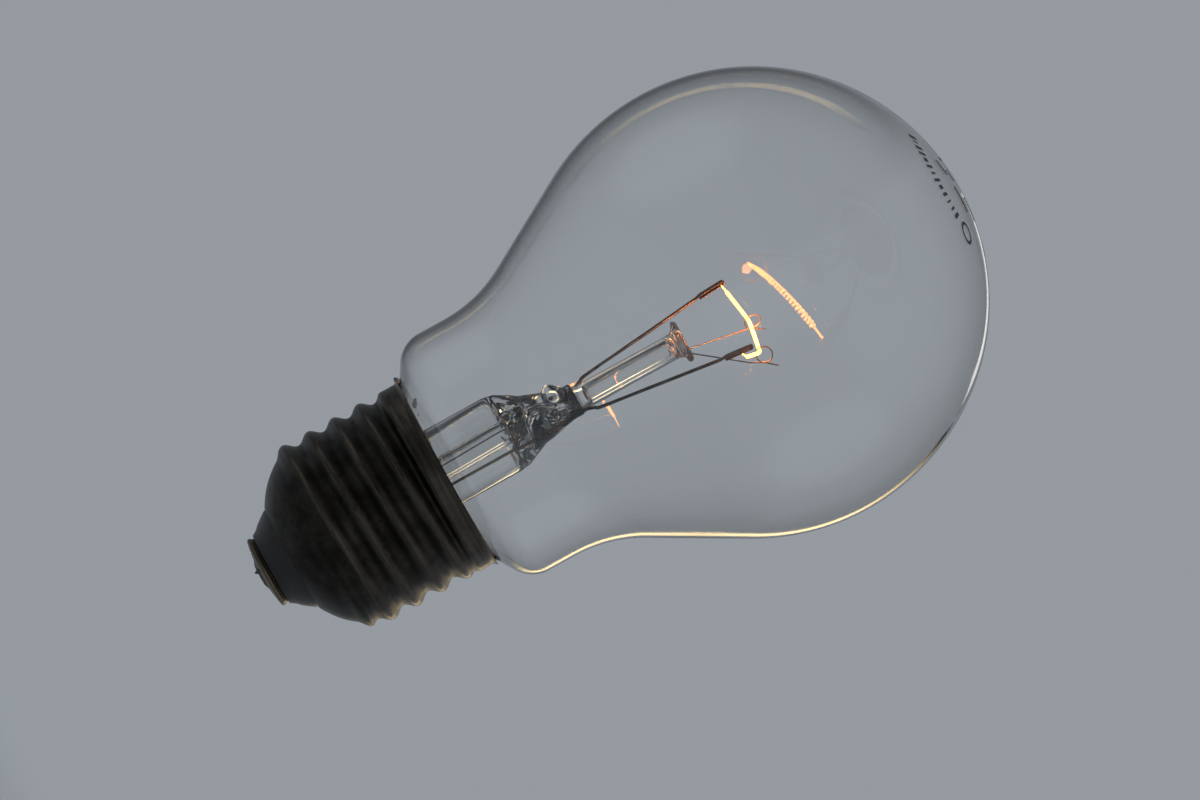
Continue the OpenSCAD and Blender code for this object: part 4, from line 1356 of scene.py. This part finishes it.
floor = panel("floor", FLOOR_REACH, FLOOR_REACH)
floor.location.z = FLOOR_H * MM
material, start, place = begin("floor")
far = parts_of(start, place)[3].ramp(*FLOOR_FADE)
floor_body = start.node("ShaderNodeBsdfDiffuse", None, {"Color": (*PALE, 1)})
away = start.node("ShaderNodeBsdfTransparent")
fading = start.node("ShaderNodeMixShader", None, {0: far, 1: floor_body, 2: away})
floor.data.materials.append(finish(material, start, fading))
print("floor", 2 * FLOOR_REACH, "m wide")

# %% World
DEEP_PASSES = 5.0
DARK_SHARE = 0.05
world = bpy.data.worlds.new("world")
bpy.context.scene.world = world
world.use_nodes = True
world.node_tree.nodes.clear()
start = Wire(world.node_tree)
path = start.node("ShaderNodeLightPath")
camera_ray = path.out("Is Camera Ray")
seen = start.maths("MAXIMUM", camera_ray, start.maths(
    "MAXIMUM", path.out("Is Glossy Ray"), path.out("Is Transmission Ray")))
ray_way = start.node("ShaderNodeTexCoord", out="Generated")
toward = start.vectors("DOT_PRODUCT", {0: ray_way, 1: -side}, out="Value")
deep = start.maths("GREATER_THAN", path.out("Transmission Depth"), DEEP_PASSES)
dark_side = toward.ramp(0.10 + 0.20 * deep, 0.30 + 0.20 * deep) * (1 - toward.ramp(0.85, 0.97))
dark_side = dark_side * (1 - camera_ray) * (0.63 + 0.37 * deep)
ground = dark_side.blend(PALE, [DARK_SHARE * c for c in PALE])
shown = start.node("ShaderNodeBackground", None, {"Color": ground, "Strength": 1.0})
soft = start.node("ShaderNodeBackground", None, {"Color": (0.9, 0.95, 1.0, 1), "Strength": 0.5})
output = world.node_tree.nodes.new("ShaderNodeOutputWorld")
start.feed(output.inputs["Surface"],
           start.node("ShaderNodeMixShader", None, {0: seen, 1: soft, 2: shown}))
print("world", len(world.node_tree.nodes), "nodes")

# %% [markdown]
# ## Lamps
# One large soft lamp stands behind and above the bulb, and a weaker one in front. Neither shows in
# the glass or the metal, which keeps the reflections calm. A very small warm lamp at the coil helps
# it to light the clamps, the loops and the button, because a thin glowing wire alone lights them
# with far more noise.

# %% Lamps
def spot(across, behind, above):
    """A place in metres, given from the point where the camera aims."""
    return aim + across * side + behind * depth + above * up


def aim_at_bulb(thing, place, z_way):
    """Turns a thing's own z to the bulb, or away from it when z_way is -1."""
    thing.location = place
    thing.rotation_mode = "QUATERNION"
    thing.rotation_quaternion = (z_way * (aim - place)).to_track_quat("Z", "Y")


def area_lamp(name, place, size, power, colour):
    data = bpy.data.lights.new(name, "AREA")
    data.size = size
    data.energy = power
    data.color = colour
    lamp = put(name, data)
    aim_at_bulb(lamp, place, -1)
    lamp.visible_camera = False
    lamp.visible_glossy = False
    lamp.visible_transmission = False
    return lamp


back = area_lamp("back", spot(-0.15, 0.45, 0.55), size=0.8, power=1.6, colour=(1, 1, 1))
front = area_lamp("front", spot(-0.30, -0.55, 0.40), size=0.9, power=1.1, colour=(0.93, 0.96, 1))
spark_data = bpy.data.lights.new("spark", "POINT")
spark_data.energy = 0.03
spark_data.color = (1.0, 0.36, 0.10)
spark_data.shadow_soft_size = 0.6 * MM
spark = put("spark", spark_data)
spark.location = (on_filament(filament_run / 2) + 0.8 * up) * MM
spark.visible_camera = False
spark.visible_transmission = False
print("lamps", back.name, front.name, spark.name)

# %% [markdown]
# ## Glowing cards
# Clear glass is also drawn by pale cards that stand just outside the view, and that it mirrors and
# bends into thin lines. A narrow golden card beside the bulb draws the golden line along one edge,
# and a white one past the crown draws the pale line there. They light no dull surface, and fade
# towards their ends, so that the lines taper. A ray that reaches the glass inside the envelope has
# been through more surfaces, so the number of surfaces passed tells the two kinds of glass apart.

# %% Glowing cards
GOLD = (1.0, 0.76, 0.42)
WHITE = (1.0, 1.0, 1.0)
RIM_PASSES = 3.0


def card(name, where, size, colour, outer, inner):
    """outer is its strength for the envelope's own rim and for bare surfaces, and inner for glass
    that stands inside the envelope."""
    half_tall = size[1] / 2
    sheet = panel(name, size[0] / 2, half_tall)
    aim_at_bulb(sheet, where, 1)
    material, start, place = begin(name)
    passed = start.node("ShaderNodeLightPath").out("Transmission Depth")
    strength = (outer * start.maths("LESS_THAN", passed, RIM_PASSES)
                + inner * start.maths("GREATER_THAN", passed, DEEP_PASSES))
    from_middle = start.maths("ABSOLUTE", parts_of(start, place)[1])
    strength = strength * (1 - from_middle.ramp(0.3 * half_tall, half_tall))
    glowing = start.node("ShaderNodeEmission", None, {"Color": (*colour, 1), "Strength": strength})
    sheet.data.materials.append(finish(material, start, glowing))
    sheet.visible_camera = False
    sheet.visible_diffuse = False
    sheet.visible_shadow = False
    print(name, "at", [round(c, 3) for c in where])


card("gold_card", spot(0.076, 0.15, -0.020), (0.020, 0.18), GOLD, outer=2.2, inner=4.4)
card("crown_card", spot(0.06, 0.30, 0.125), (0.12, 0.05), WHITE, outer=1.2, inner=0.0)
